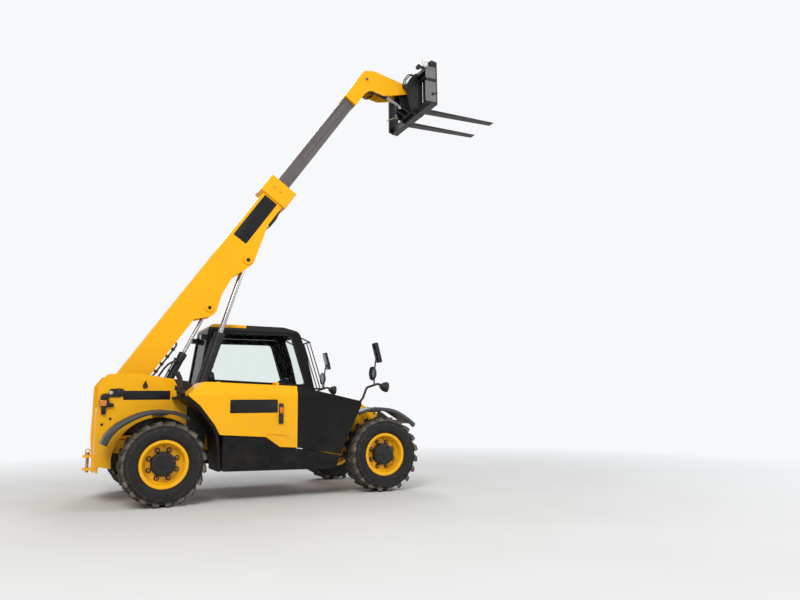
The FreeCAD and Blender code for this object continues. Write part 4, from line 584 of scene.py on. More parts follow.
def plate(form, outline, thickness, matrix=None, bevel=0.0):
    """Flat outline of (u, v) points in the local XZ plane, thickened along local -Y."""
    part = bmesh.new()
    verts = [part.verts.new((u, 0, v)) for u, v in outline]
    made = bmesh.ops.extrude_face_region(part, geom=[part.faces.new(verts)])["geom"]
    lifted = [piece for piece in made if isinstance(piece, bmesh.types.BMVert)]
    bmesh.ops.translate(part, verts=lifted, vec=(0, -thickness, 0))
    rim = [edge for edge in part.edges if all(vert in lifted for vert in edge.verts)]
    rounded_off(part, bevel, 2, rim)
    joined(form, part, matrix)

# %% [markdown]
# Hoses and bent tubes follow a few given points, with each corner rounded by one bend radius. A ring
# is carried along the path without twisting, and neighbouring rings are bridged.

# %% Hoses and bolts
def curve_points(points, bend, steps=6):
    """Points along a path whose corners are rounded with one bend radius."""
    points = [Vector(point) for point in points]
    path = [points[0]]
    for before, here, after in zip(points, points[1:], points[2:]):
        back, on = (before - here).normalized(), (after - here).normalized()
        half = back.angle(on) / 2
        reach = min(bend / math.tan(half), 0.49 * (before - here).length, 0.49 * (after - here).length)
        for i in range(steps + 1):
            part = i / steps
            first = here + back * reach * (1 - part)
            second = here + on * reach * part
            path.append(first.lerp(second, part))
    path.append(points[-1])
    return path


def hose(form, points, radius, bend=0.05, segments=12):
    """Round hose or bar swept along a path, closed at both ends."""
    part = bmesh.new()
    path = curve_points(points, bend)
    side = (path[1] - path[0]).orthogonal().normalized()
    rings = []
    for i, place in enumerate(path):
        along = (path[min(i + 1, len(path) - 1)] - path[max(i - 1, 0)]).normalized()
        side = (side - along * side.dot(along)).normalized()
        other = along.cross(side)
        ring = []
        for k in range(segments):
            angle = 2 * math.pi * k / segments
            ring.append(part.verts.new(place + (side * math.cos(angle) + other * math.sin(angle)) * radius))
        rings.append([part.edges.new((ring[k], ring[(k + 1) % segments])) for k in range(segments)])
        if i in (0, len(path) - 1):
            part.faces.new(ring)
    for first, second in zip(rings, rings[1:]):
        bmesh.ops.bridge_loops(part, edges=first + second)
    joined(form, part)


def hex_bolt(form, place, axis, size, mark=0, washer=True):
    """Hexagon head on its washer; size is the head's width across corners, halved."""
    place, axis = Vector(place), Vector(axis).normalized()
    if washer:
        turned_bar(form, place - axis * 0.001, place + axis * size * 0.22, size * 1.45, 24,
                   size * 0.05, mark=mark)
    turned_bar(form, place, place + axis * size * 0.95, size, 6, size * 0.12, mark=mark)

# %% [markdown]
# The tyre is the real thing's shape: a carcass turned from its section, with a bead, a bulging
# sidewall, two thin moulded rings and a shoulder, and two rows of slanted lugs that run down over
# the shoulder. The carcass is spun; each lug is a cube that is sheared, tapered and bevelled.

# %% Tyres
TYRE_SECTION = [
    (0.110, 0.216), (0.116, 0.228), (0.119, 0.240), (0.124, 0.246), (0.136, 0.253), (0.145, 0.266),
    (0.150, 0.284), (0.1515, 0.297), (0.1500, 0.3005), (0.1500, 0.3045), (0.1512, 0.3075), (0.1500, 0.322),
    (0.1470, 0.338), (0.1485, 0.341), (0.1475, 0.346), (0.1425, 0.349), (0.1390, 0.362), (0.1320, 0.375),
    (0.1180, 0.385), (0.0950, 0.3895), (0.0500, 0.391)]
LUGS = 20
WHEEL_NUTS = 8
COVER_SCREWS = 6
LUG_SLANT = math.tan(math.radians(24))


def tapered_block(form, corners, bevel, turn):
    """Block given by its eight corners, bottom ring then top ring, with rounded edges."""
    part = bmesh.new()
    verts = [part.verts.new(corner) for corner in corners]
    for ring in ((0, 1, 2, 3), (4, 5, 6, 7), (0, 1, 5, 4), (1, 2, 6, 5), (2, 3, 7, 6), (3, 0, 4, 7)):
        part.faces.new([verts[i] for i in ring])
    rounded_off(part, bevel, 2, part.edges[:])
    joined(form, part, turn)


LUG_INNER = -0.010
LUG_OUTER = 0.148


def lug(form, side, angle):
    """Slanted bar from the middle of the tread over the shoulder, and its foot on the sidewall."""
    turn = Matrix.Rotation(angle, 4, "Y")
    slant = (LUG_OUTER - LUG_INNER) * LUG_SLANT
    bar = []
    for radius, inner_half, outer_half, cut in ((0.372, 0.025, 0.032, 0.0), (0.4145, 0.019, 0.026, 0.013)):
        for x, y in ((-inner_half, LUG_INNER), (inner_half, LUG_INNER),
                     (outer_half + slant, LUG_OUTER - cut), (-outer_half + slant, LUG_OUTER - cut)):
            bar.append((x, side * y, radius))
    tapered_block(form, bar, 0.0045, turn)
    foot = []
    for radius, half, out in ((0.352, 0.017, 0.1490), (0.400, 0.0255, 0.1500)):
        for x, y in ((-half, 0.120), (half, 0.120), (half, out), (-half, out)):
            foot.append((x + slant, side * y, radius))
    tapered_block(form, foot, 0.0035, turn)


def tyre_form():
    form = bmesh.new()
    section = [(-along, radius) for along, radius in TYRE_SECTION] + TYRE_SECTION[::-1]
    spun(form, section + [section[0]], steps=96)
    for side, phase in ((1, 0.0), (-1, 0.5)):
        for i in range(LUGS):
            lug(form, side, (i + phase) * 2 * math.pi / LUGS)
    return form


WHEELS = [(end, side, x, y) for end, x in (("front", WHEEL_X), ("rear", -WHEEL_X))
          for side, y in (("left", WHEEL_Y), ("right", -WHEEL_Y))]


def wheel_place(x, y):
    """Local wheel space, with its outer side at +Y, put at a corner of the machine."""
    flip = Matrix.Diagonal((1, 1 if y > 0 else -1, 1, 1))
    return Matrix.Translation(at(x, y, WHEEL_Z)) @ flip


for end, side, x, y in WHEELS:
    form = tyre_form()
    bmesh.ops.transform(form, matrix=wheel_place(x, y), verts=form.verts[:])
    made = end_piece(f"lugged_tyre_{end}_{side}", form, tyre_skin, f"wheel_{end}_{side}")
    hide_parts(f"tyre_{end}_{side}")
print("tyre triangles:", sum(len(p.vertices) - 2 for p in made.data.polygons))

# %% [markdown]
# Each wheel carries a black hub cover with a ring of small screws and a plug in its middle, and
# eight dark nuts on their studs. These sit on the rim's disc, over the plain forms of the CAD rim.

# %% Hub covers and wheel nuts
HUB_SECTION = [
    (0.0345, 0.070), (0.0345, 0.1225), (0.052, 0.1215), (0.054, 0.1195), (0.100, 0.1185), (0.1075, 0.115),
    (0.1105, 0.108), (0.1108, 0.074), (0.1085, 0.071), (0.1085, 0.050), (0.1125, 0.047), (0.1130, 0.020),
    (0.1130, 0.0)]
NUT_CIRCLE = 0.146

for end, side, x, y in WHEELS:
    place = wheel_place(x, y)
    form = bmesh.new()
    spun(form, HUB_SECTION)
    for i in range(COVER_SCREWS):
        angle = 2 * math.pi * i / COVER_SCREWS
        spot = (0.092 * math.cos(angle), 0.1105, 0.092 * math.sin(angle))
        hex_bolt(form, spot, (0, 1, 0), 0.0085, washer=False)
    hex_bolt(form, (0, 0.113, 0), (0, 1, 0), 0.016)
    bmesh.ops.transform(form, matrix=place, verts=form.verts[:])
    end_piece(f"hub_cover_{end}_{side}", form, hub_black, f"wheel_{end}_{side}")
    form = bmesh.new()
    for i in range(WHEEL_NUTS):
        angle = 2 * math.pi * (i + 0.5) / WHEEL_NUTS
        spot = Vector((NUT_CIRCLE * math.cos(angle), 0.034, NUT_CIRCLE * math.sin(angle)))
        hex_bolt(form, spot, (0, 1, 0), 0.0185)
        stud = spot + Vector((0, 0.010, 0))
        turned_bar(form, stud, stud + Vector((0, 0.021, 0)), 0.0095, 16, 0.0015, mark=1)
    turned_bar(form, (0.0, 0.052, 0.183), (0.0, 0.092, 0.170), 0.0048, 12, 0.001)
    bmesh.ops.transform(form, matrix=place, verts=form.verts[:])
    end_piece(f"wheel_nuts_{end}_{side}", form, black_paint, f"wheel_{end}_{side}", dark_steel)

# %% [markdown]
# The blank black panels on the boom, the cover and the rear frame are thin vinyl films: a millimetre
# and a half thick with rounded corners. They are cut as flat outlines and lie on their panels.

# %% Blank panels
def rounded(u0, v0, u1, v1, radius, steps=5):
    """Corner points of a rectangle with rounded corners."""
    points = []
    for cu, cv, start in ((u1 - radius, v1 - radius, 0), (u0 + radius, v1 - radius, 90),
                          (u0 + radius, v0 + radius, 180), (u1 - radius, v0 + radius, 270)):
        for i in range(steps + 1):
            angle = math.radians(start + 90 * i / steps)
            points.append((cu + radius * math.cos(angle), cv + radius * math.sin(angle)))
    return points


def frame_place(y):
    """Space whose XZ plane is the machine's side plane at a distance y, facing right."""
    return Matrix.Translation(at(0, y, 0))


FILM = 0.0015
BOOM_HALF_WIDTH = 0.125
BOOM_FILM = rounded(2.225, -0.081, 2.880, 0.106, 0.014)
form = bmesh.new()
plate(form, BOOM_FILM, FILM, BOOM_FRAME @ Matrix.Translation((0, -BOOM_HALF_WIDTH, 0)), 0.0005)
end_piece("boom_film_right", form, blank_panel, "boom")
form = bmesh.new()
plate(form, BOOM_FILM, FILM, BOOM_FRAME @ Matrix.Translation((0, BOOM_HALF_WIDTH + FILM, 0)))
end_piece("boom_film_left", form, blank_panel, "boom")
form = bmesh.new()
plate(form, rounded(-0.575, 0.905, -0.065, 1.045, 0.012), FILM, frame_place(-0.9), 0.0005)
end_piece("cover_film", form, blank_panel, "cover")
form = bmesh.new()
plate(form, rounded(-1.575, 1.055, -1.105, 1.150, 0.010), FILM, frame_place(-0.41), 0.0005)
end_piece("frame_film", form, blank_panel, "machine")

# %% [markdown]
# Bolts and pin ends: the collar has two painted bolts on each side, and the ram pins end in dark,
# slightly sunk discs whose dark brown is painted shade in the pin holes. The pivot's drop-shaped keeper is
# held by one bright bolt at its narrow end.

# %% Boom bolts and pin ends
form = bmesh.new()
for sign in (-1, 1):
    for t in (-0.022, 0.078):
        spot = BOOM_FRAME @ Vector((3.042, sign * 0.149, t))
        turned_bar(form, spot, spot + Vector((0, sign * 0.005, 0)), 0.020, 32, 0.0015)
        turned_bar(form, spot, spot + Vector((0, sign * 0.014, 0)), 0.0125, 6, 0.0015)
end_piece("collar_bolts", form, yellow_paint, "boom")
form = bmesh.new()
for sign in (-1, 1):
    for s, t, radius in ((2.083, -0.218, 0.022), (1.339, -0.205, 0.019)):
        spot = BOOM_FRAME @ Vector((s, sign * 0.141, t))
        disc = [(0.0, radius + 0.002), (0.004, radius + 0.001), (0.004, radius - 0.003),
                (0.001, radius - 0.005), (0.001, 0.006), (0.0035, 0.005), (0.0035, 0.0)]
        spun(form, disc, Matrix.Translation(spot) @ Matrix.Diagonal((1, sign, 1, 1)), 32)
# The dark brown of these sunk discs is painted shade in the pin holes.
end_piece("ram_pin_ends", form, rust_brown_and_hole_shade, "boom")
form = bmesh.new()
for sign in (-1, 1):
    spun(form, [(0.0, 0.036), (0.006, 0.035), (0.008, 0.031), (0.008, 0.010), (0.006, 0.008), (0.006, 0.0)],
         Matrix.Translation(at(-1.6, sign * 0.424, 1.13)) @ Matrix.Diagonal((1, sign, 1, 1)), 40)
    hex_bolt(form, at(-1.694, sign * 0.424, 1.128), (0, sign, 0), 0.013, mark=1)
end_piece("pivot_pin_ends", form, black_paint, "machine", pin_steel)

# %% [markdown]
# The mudguards are moulded strips with a rolled outer edge. One closed section is carried along a
# smooth line through the guard's bends, and neighbouring sections are bridged.

# %% Mudguards
GUARD_SECTION = [
    (0.520, 0.000), (0.700, 0.005), (0.860, 0.005), (0.884, 0.001), (0.898, -0.010), (0.903, -0.026),
    (0.902, -0.044), (0.895, -0.056), (0.885, -0.058), (0.883, -0.050), (0.890, -0.042), (0.891, -0.026),
    (0.886, -0.016), (0.876, -0.010), (0.700, -0.007), (0.520, -0.009)]
REAR_GUARD = [(-1.7915, 0.6301), (-1.7420, 0.7260), (-1.6400, 0.8240), (-1.4700, 0.9110), (-1.3177, 0.9440),
              (-1.1263, 0.9340), (-0.9720, 0.8683)]
FRONT_GUARD = [(0.8759, 0.8903), (1.0198, 0.9330), (1.1518, 0.9440), (1.3500, 0.9160), (1.5000, 0.8390),
               (1.6119, 0.7559)]


def smooth_line(points, steps):
    """Points on a smooth line through the given ones (Catmull-Rom)."""
    ends = [points[0] * 2 - points[1], *points, points[-1] * 2 - points[-2]]
    line = []
    for a, b, c, d in zip(ends, ends[1:], ends[2:], ends[3:]):
        for i in range(steps):
            u = i / steps
            line.append((b * 2 + (c - a) * u + (a * 2 - b * 5 + c * 4 - d) * u * u
                         + (b * 3 - a - c * 3 + d) * u * u * u) / 2)
    return line + [points[-1]]


def swept(form, rings):
    """Skin through a row of closed rings with equal counts, closed at both ends."""
    part = bmesh.new()
    loops = []
    for ring in rings:
        verts = [part.verts.new(place) for place in ring]
        loops.append([part.edges.new(pair) for pair in zip(verts, verts[1:] + verts[:1])])
        if ring is rings[0] or ring is rings[-1]:
            part.faces.new(verts)
    for first, second in zip(loops, loops[1:]):
        bmesh.ops.bridge_loops(part, edges=first + second)
    joined(form, part)


def guard_strip(form, path, sign, lips):
    """Strip whose rolled edge grows from one height share to another along the path."""
    line = smooth_line([Vector((x, 0, z)) for x, z in path], 6)
    rings = []
    for i, place in enumerate(line):
        ahead = line[min(i + 1, len(line) - 1)] - line[max(i - 1, 0)]
        out = Vector((-ahead.z, 0, ahead.x)).normalized()
        share = lips[0] + (lips[1] - lips[0]) * i / (len(line) - 1)
        heights = [(y, h * share if h < -0.017 else h) for y, h in GUARD_SECTION]
        rings.append([at(place.x + out.x * h, sign * y, place.z + out.z * h) for y, h in heights])
    swept(form, rings)


form = bmesh.new()
for sign in (-1, 1):
    for path, post_x, plate_y, lips in ((REAR_GUARD, -1.235, 0.4165, (1.0, 0.55)),
                                        (FRONT_GUARD, 1.13, 0.3625, (0.45, 1.0))):
        guard_strip(form, path, sign, lips)
        low, high = sorted((sign * plate_y, sign * 0.84))
        boxed(form, at(post_x - 0.055, low, 0.893), at(post_x + 0.055, high, 0.931), bevel=0.006)
        for y in (0.60, 0.80):
            hex_bolt(form, at(post_x, sign * y, 0.945), (0, 0, 1), 0.010)
made = end_piece("moulded_mudguards", form, guard_plastic, "machine")
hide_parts("mudguards")

# %% [markdown]
# Inside each arch hangs a black sheet, which closes the view through the frame above the tyre. It
# is a flat outline, thickened, with a row of bolts along its top.

# %% Arch sheets
REAR_SHEET = [(-1.58, 0.72), (-1.50, 0.86), (-1.38, 0.955), (-1.06, 0.955), (-0.90, 0.90),
              (-0.82, 0.80), (-0.82, 0.70)]
FRONT_SHEET = [(1.36, 0.68), (1.36, 0.905), (1.42, 0.885), (1.54, 0.80), (1.58, 0.70)]
form = bmesh.new()
for sign in (-1, 1):
    for outline, y in ((REAR_SHEET, 0.388), (FRONT_SHEET, 0.364)):
        corners = [(at(x, 0, 0).x, z) for x, z in outline]
        plate(form, corners, 0.005, Matrix.Translation((0, sign * y + 0.0025, 0)))
for sign in (-1, 1):
    for x in (1.08, 1.20, 1.32):
        hex_bolt(form, at(x, sign * 0.356, 0.915 - max(0, x - 1.25) * 0.6), (0, sign, 0), 0.009)
end_piece("arch_sheets", form, trim_plastic, "machine")

# %% [markdown]
# The exhaust's foot: a short fat elbow with two clamp bands carries the pipe's end round towards the
# engine bay. It is a bar swept round one bend, which keeps its thickness where a bent cylinder
# would pinch.

# %% Exhaust elbow
form = bmesh.new()
hose(form, [at(-1.048, -0.64, 1.175), at(-1.048, -0.64, 1.118), at(-0.998, -0.64, 1.118)], 0.034, 0.045, 20)
turned_bar(form, at(-1.048, -0.64, 1.168), at(-1.048, -0.64, 1.186), 0.038, 24, 0.002)
turned_bar(form, at(-1.010, -0.64, 1.118), at(-0.996, -0.64, 1.118), 0.040, 24, 0.002)
boxed(form, at(-1.098, -0.648, 1.150), at(-1.078, -0.632, 1.200), bevel=0.003)
end_piece("exhaust_elbow", form, exhaust_steel, "machine")

# %% [markdown]
# The cover's latch is a black cup with an orange pull in its upper half, proud of the sheet metal.

# %% Cover latch
form = bmesh.new()
boxed(form, at(-0.054, -0.9195, 0.788), at(-0.004, -0.8995, 1.002), bevel=0.006)
boxed(form, at(-0.047, -0.924, 0.900), at(-0.011, -0.916, 0.962), bevel=0.004, mark=1)
boxed(form, at(-0.045, -0.9225, 0.812), at(-0.013, -0.9185, 0.872), bevel=0.002)
end_piece("cover_latch", form, trim_plastic, "cover", orange_plastic)

# %% [markdown]
# Lamps: a round lamp has a dark housing and a slightly domed lens, both turned from a short profile.
# The rear corner lamp stands on a rubber foot, with a square amber marker and two rubber blocks
# below it; the cab's rear corners carry flat lamps, clear above and red below.

# %% Lamps
def mirrored_box(form, x0, x1, y0, y1, z0, z1, sign, bevel, segments=2):
    """Rounded box given for the left side, or mirrored to the right with a sign of -1."""
    near, far = sorted((sign * y0, sign * y1))
    boxed(form, at(x0, near, z0), at(x1, far, z1), bevel=bevel, segments=segments)


def lamp_lens(form, place, axis, radius, dome):
    """Shallow dome with a rim, its axis along a direction."""
    turn = Vector((0, 1, 0)).rotation_difference(Vector(axis).normalized()).to_matrix().to_4x4()
    profile = [(-0.004, radius), (0.002, radius), (0.004, radius * 0.96)]
    for i in range(1, 6):
        u = i / 5
        profile.append((0.004 + dome * (1 - (1 - u) ** 2), radius * 0.96 * (1 - u)))
    spun(form, profile, Matrix.Translation(place) @ turn, 32)


form = bmesh.new()
for sign in (-1, 1):
    mirrored_box(form, -1.797, -1.733, 0.445, 0.460, 0.992, 1.056, sign, 0.006)
end_piece("rear_amber_lenses", form, amber_lens, "machine")
form = bmesh.new()
for sign in (-1, 1):
    spun(form, [(0.0, 0.041), (0.030, 0.040), (0.044, 0.037), (0.046, 0.031), (0.040, 0.030)],
         Matrix.Translation(at(-1.752, sign * 0.411, 1.082)) @ Matrix.Diagonal((1, sign, 1, 1)), 32)
    lamp_lens(form, at(-1.752, sign * 0.4565, 1.082), (0, sign, 0), 0.031, 0.010)
    for x0, x1, z0, z1, out in ((-1.800, -1.730, 0.987, 1.062, 0.452), (-1.728, -1.664, 0.984, 1.022, 0.447),
                                (-1.780, -1.738, 0.908, 0.980, 0.445)):
        mirrored_box(form, x0, x1, 0.4105, out, z0, z1, sign, 0.012, 3)
end_piece("rear_lamp_rubbers", form, seal_rubber, "machine")
for name, finish, low in (("cab_clear_lenses", clear_lens, 1.802), ("cab_red_lenses", red_lens, 1.776)):
    form = bmesh.new()
    for y in (0.23, 0.82):
        boxed(form, at(-0.690, y - 0.038, low), at(-0.682, y + 0.038, low + 0.022), bevel=0.002)
    end_piece(name, form, finish, "machine")

# %% [markdown]
# Headlamps and mirrors stand on a bent tube at each front corner. The tube is a bar swept along its
# bends; the round mirror is turned, and the tall one is a rounded box that leans with its stay.

# %% Headlamps and mirrors
form_lamp, form_mirror, form_lens, form_glass = bmesh.new(), bmesh.new(), bmesh.new(), bmesh.new()
for sign in (-1, 1):
    y = sign * 0.83
    foot = [at(1.019, y, 1.178)]
    if sign < 0:
        foot = [at(0.905, y, 0.985), at(0.965, y, 1.060), at(1.010, y, 1.175)]
    hose(form_lamp, foot + [at(1.150, y, 1.218), at(1.205, y, 1.202)], 0.0135, 0.05, 14)
    tilt = Vector((1, 0, -0.1)).normalized()
    turn = Vector((0, 1, 0)).rotation_difference(tilt).to_matrix().to_4x4()
    spun(form_lamp, [(-0.050, 0.0), (-0.050, 0.016), (-0.034, 0.030), (-0.010, 0.050), (0.020, 0.058),
                     (0.040, 0.060), (0.044, 0.058), (0.040, 0.050), (0.020, 0.040), (0.020, 0.0)],
         Matrix.Translation(at(1.228, y, 1.184)) @ turn, 40)
    lamp_lens(form_lens, at(1.228, y, 1.184) + tilt * 0.038, tilt, 0.052, 0.010)
    stay = [at(1.106, y, 1.198), at(1.108, y, 1.34), at(1.122, y, 1.46), at(1.146, y, 1.56)]
    hose(form_mirror, stay, 0.009, 0.05, 12)
    about = Vector((0, 1, 0)).rotation_difference(Vector((-1, 0, 0))).to_matrix().to_4x4()
    spun(form_mirror, [(-0.030, 0.0), (-0.028, 0.030), (-0.018, 0.062), (-0.002, 0.079), (0.014, 0.082),
                       (0.018, 0.079), (0.013, 0.074), (0.009, 0.0)],
         Matrix.Translation(at(1.092, y, 1.338)) @ about, 40)
    spun(form_glass, [(-0.002, 0.0745), (0.0005, 0.0745), (0.003, 0.045), (0.0045, 0.0)],
         Matrix.Translation(at(1.0805, y, 1.338)) @ about, 40)
    lean = Matrix.Translation(at(1.146, y, 1.582)) @ Matrix.Rotation(math.radians(-14.5), 4, "Y")
    boxed(form_mirror, (-0.018, -0.060, -0.120), (0.018, 0.060, 0.120), lean, 0.014, 3)
    boxed(form_glass, (-0.0205, -0.050, -0.108), (-0.0175, 0.050, 0.108), lean)
    boxed(form_mirror, (0.016, -0.020, -0.060), (0.034, 0.020, 0.000), lean, 0.006)
made = end_piece("headlamp_stalks", form_lamp, trim_plastic, "machine")
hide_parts("headlamps")
made = end_piece("mirror_heads", form_mirror, trim_plastic, "machine")
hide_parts("mirrors")
end_piece("headlamp_lenses", form_lens, clear_lens, "machine")
end_piece("mirror_glasses", form_glass, mirror_glass, "machine")

# %% [markdown]
# The side plate's small parts: a brown lifting eye shaped like a drop, and two dark bolts behind the
# wheel arch.

# %% Frame eye and bolts
EYE_OUTLINE = [(-1.364, 1.172), (-1.386, 1.182), (-1.389, 1.203), (-1.378, 1.226), (-1.361, 1.256),
               (-1.348, 1.228), (-1.336, 1.205), (-1.340, 1.183)]
form = bmesh.new()
for sign in (-1, 1):
    corners = [(at(x, 0, 0).x, z) for x, z in EYE_OUTLINE]
    plate(form, corners, 0.010, Matrix.Translation((0, 0.42 if sign > 0 else -0.41, 0)))
    for x, z in ((-1.690, 0.863), (-1.766, 0.807)):
        hex_bolt(form, at(x, sign * 0.41, z), (0, sign, 0), 0.010)
end_piece("frame_eyes", form, rust_brown_and_hole_shade, "machine")

# %% [markdown]
# Ram fittings. A ram's own line runs from its base to its rod pin. A wiper ring closes the gland, two
# clamps hold a steel pipe that feeds the gland from the barrel's foot.

# %% Ram fittings
CLAMP_SHARES = (0.32, 0.68)
RAMS = [("lift_barrel", (-0.885, 0.660), (-0.2267, 2.7113), 1.223, 0.056, 0.030),
        ("slave_barrel", (-1.250, 0.900), (-0.6641, 2.1093), 0.756, 0.042, 0.020),
        ("tilt_barrel", (1.3422, 5.3581), (1.9250, 5.1326), 0.372, 0.042, 0.022)]
for body, foot, pin, length, radius, rod in RAMS:
    base = at(foot[0], 0, foot[1])
    line = (at(pin[0], 0, pin[1]) - base).normalized()
    upper = Vector((-line.z, 0, line.x))
    turn = Vector((0, 1, 0)).rotation_difference(line).to_matrix().to_4x4()
    form = bmesh.new()
    end = Matrix.Translation(base + line * length) @ turn
    spun(form, [(-0.002, radius * 0.98), (0.004, radius * 0.96), (0.006, radius * 0.90), (0.006, rod + 0.010),
                (0.011, rod + 0.008), (0.012, rod + 0.001), (-0.002, rod + 0.001)], end, 40)
    for share in CLAMP_SHARES:
        band = [(-0.011, radius + 0.0005), (-0.010, radius + 0.004), (0.010, radius + 0.004),
                (0.011, radius + 0.0005)]
        spun(form, band, Matrix.Translation(base + line * length * share) @ turn, 40)
    off = radius + 0.014
    side = Vector((0, -0.022, 0))
    low, high = base + line * 0.10, base + line * (length - 0.10)
    gland = base + line * (length - 0.085) + upper * radius * 0.6
    route = [low + side, low + upper * off + side, high + upper * off + side, gland + side]
    hose(form, route, 0.0075, 0.02, 12)
    for share in CLAMP_SHARES:
        spot = base + line * length * share + upper * off + side
        turned_bar(form, spot - line * 0.010, spot + line * 0.010, 0.0115, 16, 0.001)
    end_piece(f"{body}_fittings", form, black_paint, body)

# %% [markdown]
# A hose rises from the frame beside the boom's foot and bends over into the slave ram's barrel.

# %% Slave ram hose
form = bmesh.new()
hose(form, [at(-1.215, -0.10, 1.20), at(-1.207, -0.10, 1.293), at(-1.139, -0.10, 1.400),
            at(-1.089, -0.10, 1.455), at(-1.037, -0.09, 1.483), at(-0.974, -0.05, 1.486)], 0.011, 0.06, 14)
turned_bar(form, at(-0.985, -0.055, 1.486), at(-0.955, -0.035, 1.484), 0.015, 6, 0.001)
end_piece("slave_ram_hose", form, hose_rubber, "slave_barrel")

# %% [markdown]
# On the carriage stand two curved black side plates beside the boom's nose, with three bolts each and
# two thin hoses over their rear edges. A plate is its outline with a thickness, as cut from sheet.

# %% Carriage plates
SIDE_PLATE = [(1.985, 5.015), (1.950, 5.100), (1.918, 5.218), (1.915, 5.353), (1.953, 5.447), (1.996, 5.505),
              (2.049, 5.560), (2.100, 5.578), (2.100, 5.015)]
form = bmesh.new()
for y in (-0.205, 0.190):
    rim = [at(x, 0, z) for x, z in SIDE_PLATE]
    plate(form, [(place.x, place.z) for place in rim], 0.015, Matrix.Translation((0, y + 0.015, 0)))
for sign in (-1, 1):
    for x, z in ((1.965, 5.200), (1.965, 5.360), (2.010, 5.470)):
        hex_bolt(form, at(x, sign * 0.205, z), (0, sign, 0), 0.012)
end_piece("carriage_side_plates", form, black_paint, "carriage")
form = bmesh.new()
for lift, y in ((0.0, -0.176), (0.020, -0.158)):
    route = [at(1.925, y, 5.290), at(1.895 - lift, y, 5.370), at(1.915 - lift, y, 5.450),
             at(1.985 - lift, y, 5.530 + lift), at(2.060, y, 5.545 + lift), at(2.085, y, 5.480)]
    hose(form, route, 0.008, 0.05, 12)
end_piece("carriage_hoses", form, hose_rubber, "carriage")

# %% [markdown]
# The carriage's right upright has two grey faces, a latch with its lever, and knobs on top. A pale
# strap hangs in a curl from the upper knob.

# %% Carriage fittings
form = bmesh.new()
boxed(form, at(1.985, -0.6075, 4.985), at(2.150, -0.5995, 5.270), bevel=0.002, mark=1)
boxed(form, at(1.992, -0.6075, 5.315), at(2.145, -0.5995, 5.480), bevel=0.002, mark=1)
for x, z, size in ((1.892, 5.445, 0.030), (2.064, 5.530, 0.026)):
    turned_bar(form, at(x, -0.615, z), at(x, -0.560, z), size, 28, 0.004)
    turned_bar(form, at(x, -0.625, z), at(x, -0.600, z), size * 0.5, 20, 0.002)
boxed(form, at(1.900, -0.606, 5.420), at(2.030, -0.594, 5.465), bevel=0.003)
boxed(form, at(2.082, -0.622, 5.080), at(2.112, -0.600, 5.112), bevel=0.004)
hose(form, [at(2.097, -0.612, 5.096), at(2.150, -0.614, 5.110), at(2.168, -0.616, 5.122)], 0.006, 0.02, 10)
end_piece("carriage_fittings", form, black_paint, "carriage", plain_grey)
form = bmesh.new()
hose(form, [at(1.935, -0.618, 5.560), at(1.938, -0.618, 5.490), at(1.970, -0.620, 5.440),
            at(2.020, -0.620, 5.470), at(2.010, -0.620, 5.530), at(1.965, -0.620, 5.520),
            at(1.960, -0.620, 5.460)], 0.006, 0.03, 10)
hose(form, [at(1.850, 0.300, 5.022), at(1.995, 0.300, 5.101), at(2.022, 0.300, 5.130)], 0.008, 0.02, 10)
boxed(form, at(1.996, 0.285, 5.083), at(2.040, 0.315, 5.154), bevel=0.004)
end_piece("carriage_strap", form, strap_plastic, "carriage")

# %% [markdown]
# The nose carries a yellow cap over each end of the carriage pin, and the boom a small bracket with
# its two hoses under the collar.

# %% Nose caps and collar bracket
form = bmesh.new()
for sign in (-1, 1):
    spun(form, [(0.0, 0.036), (0.010, 0.035), (0.014, 0.030), (0.014, 0.0)],
         Matrix.Translation(at(1.905, sign * 0.125, 5.3546)) @ Matrix.Diagonal((1, sign, 1, 1)), 32)
end_piece("nose_pin_caps", form, yellow_paint, "extension")
form = bmesh.new()
boxed(form, (2.60, -0.118, -0.172), (2.82, -0.088, -0.146), BOOM_FRAME, 0.004)
hose(form, [on_boom(2.50, -0.100, -0.150), on_boom(2.60, -0.102, -0.176), on_boom(2.72, -0.102, -0.182),
            on_boom(2.84, -0.100, -0.160)], 0.008, 0.03, 10)
end_piece("collar_bracket", form, black_paint, "boom")

# %% [markdown]
# Rubber seals run round the cab's openings. A seal is a small section carried round a loop, whose
# four corners are given with their own rounding; neighbouring sections are bridged, and the last one
# is bridged to the first.

# %% Cab seals
def grown_loop(corners, grow, y, steps=6):
    """Loop round four (x, z, radius) corners in a side plane, moved outwards by grow."""
    points = []
    for i, (x, z, radius) in enumerate(corners):
        here = Vector((x, 0, z))
        back = (Vector((corners[i - 1][0], 0, corners[i - 1][1])) - here).normalized()
        on = (Vector((corners[(i + 1) % 4][0], 0, corners[(i + 1) % 4][1])) - here).normalized()
        half = back.angle(on) / 2
        centre = here + (back + on).normalized() * (radius / math.sin(half))
        first = (here + back * radius / math.tan(half) - centre).normalized()
        last = (here + on * radius / math.tan(half) - centre).normalized()
        for k in range(steps + 1):
            out = first.slerp(last, k / steps)
            spot = centre + out * (radius + grow)
            points.append(at(spot.x, y, spot.z))
    return points


def seal(form, corners, y, out, width=0.016, depth=0.010):
    """Rounded rubber strip round an opening, on the side plane y, standing towards out."""
    part = bmesh.new()
    section = [(-width / 2, 0.0), (-width / 2, depth * 0.6), (-width / 4, depth), (width / 4, depth),
               (width / 2, depth * 0.6), (width / 2, 0.0)]
    loops = []
    for ring in zip(*[grown_loop(corners, grow, y + out * lift) for grow, lift in section]):
        verts = [part.verts.new(place) for place in ring]
        loops.append([part.edges.new(pair) for pair in zip(verts, verts[1:] + verts[:1])])
    for first, second in zip(loops, loops[1:] + loops[:1]):
        bmesh.ops.bridge_loops(part, edges=first + second)
    joined(form, part)


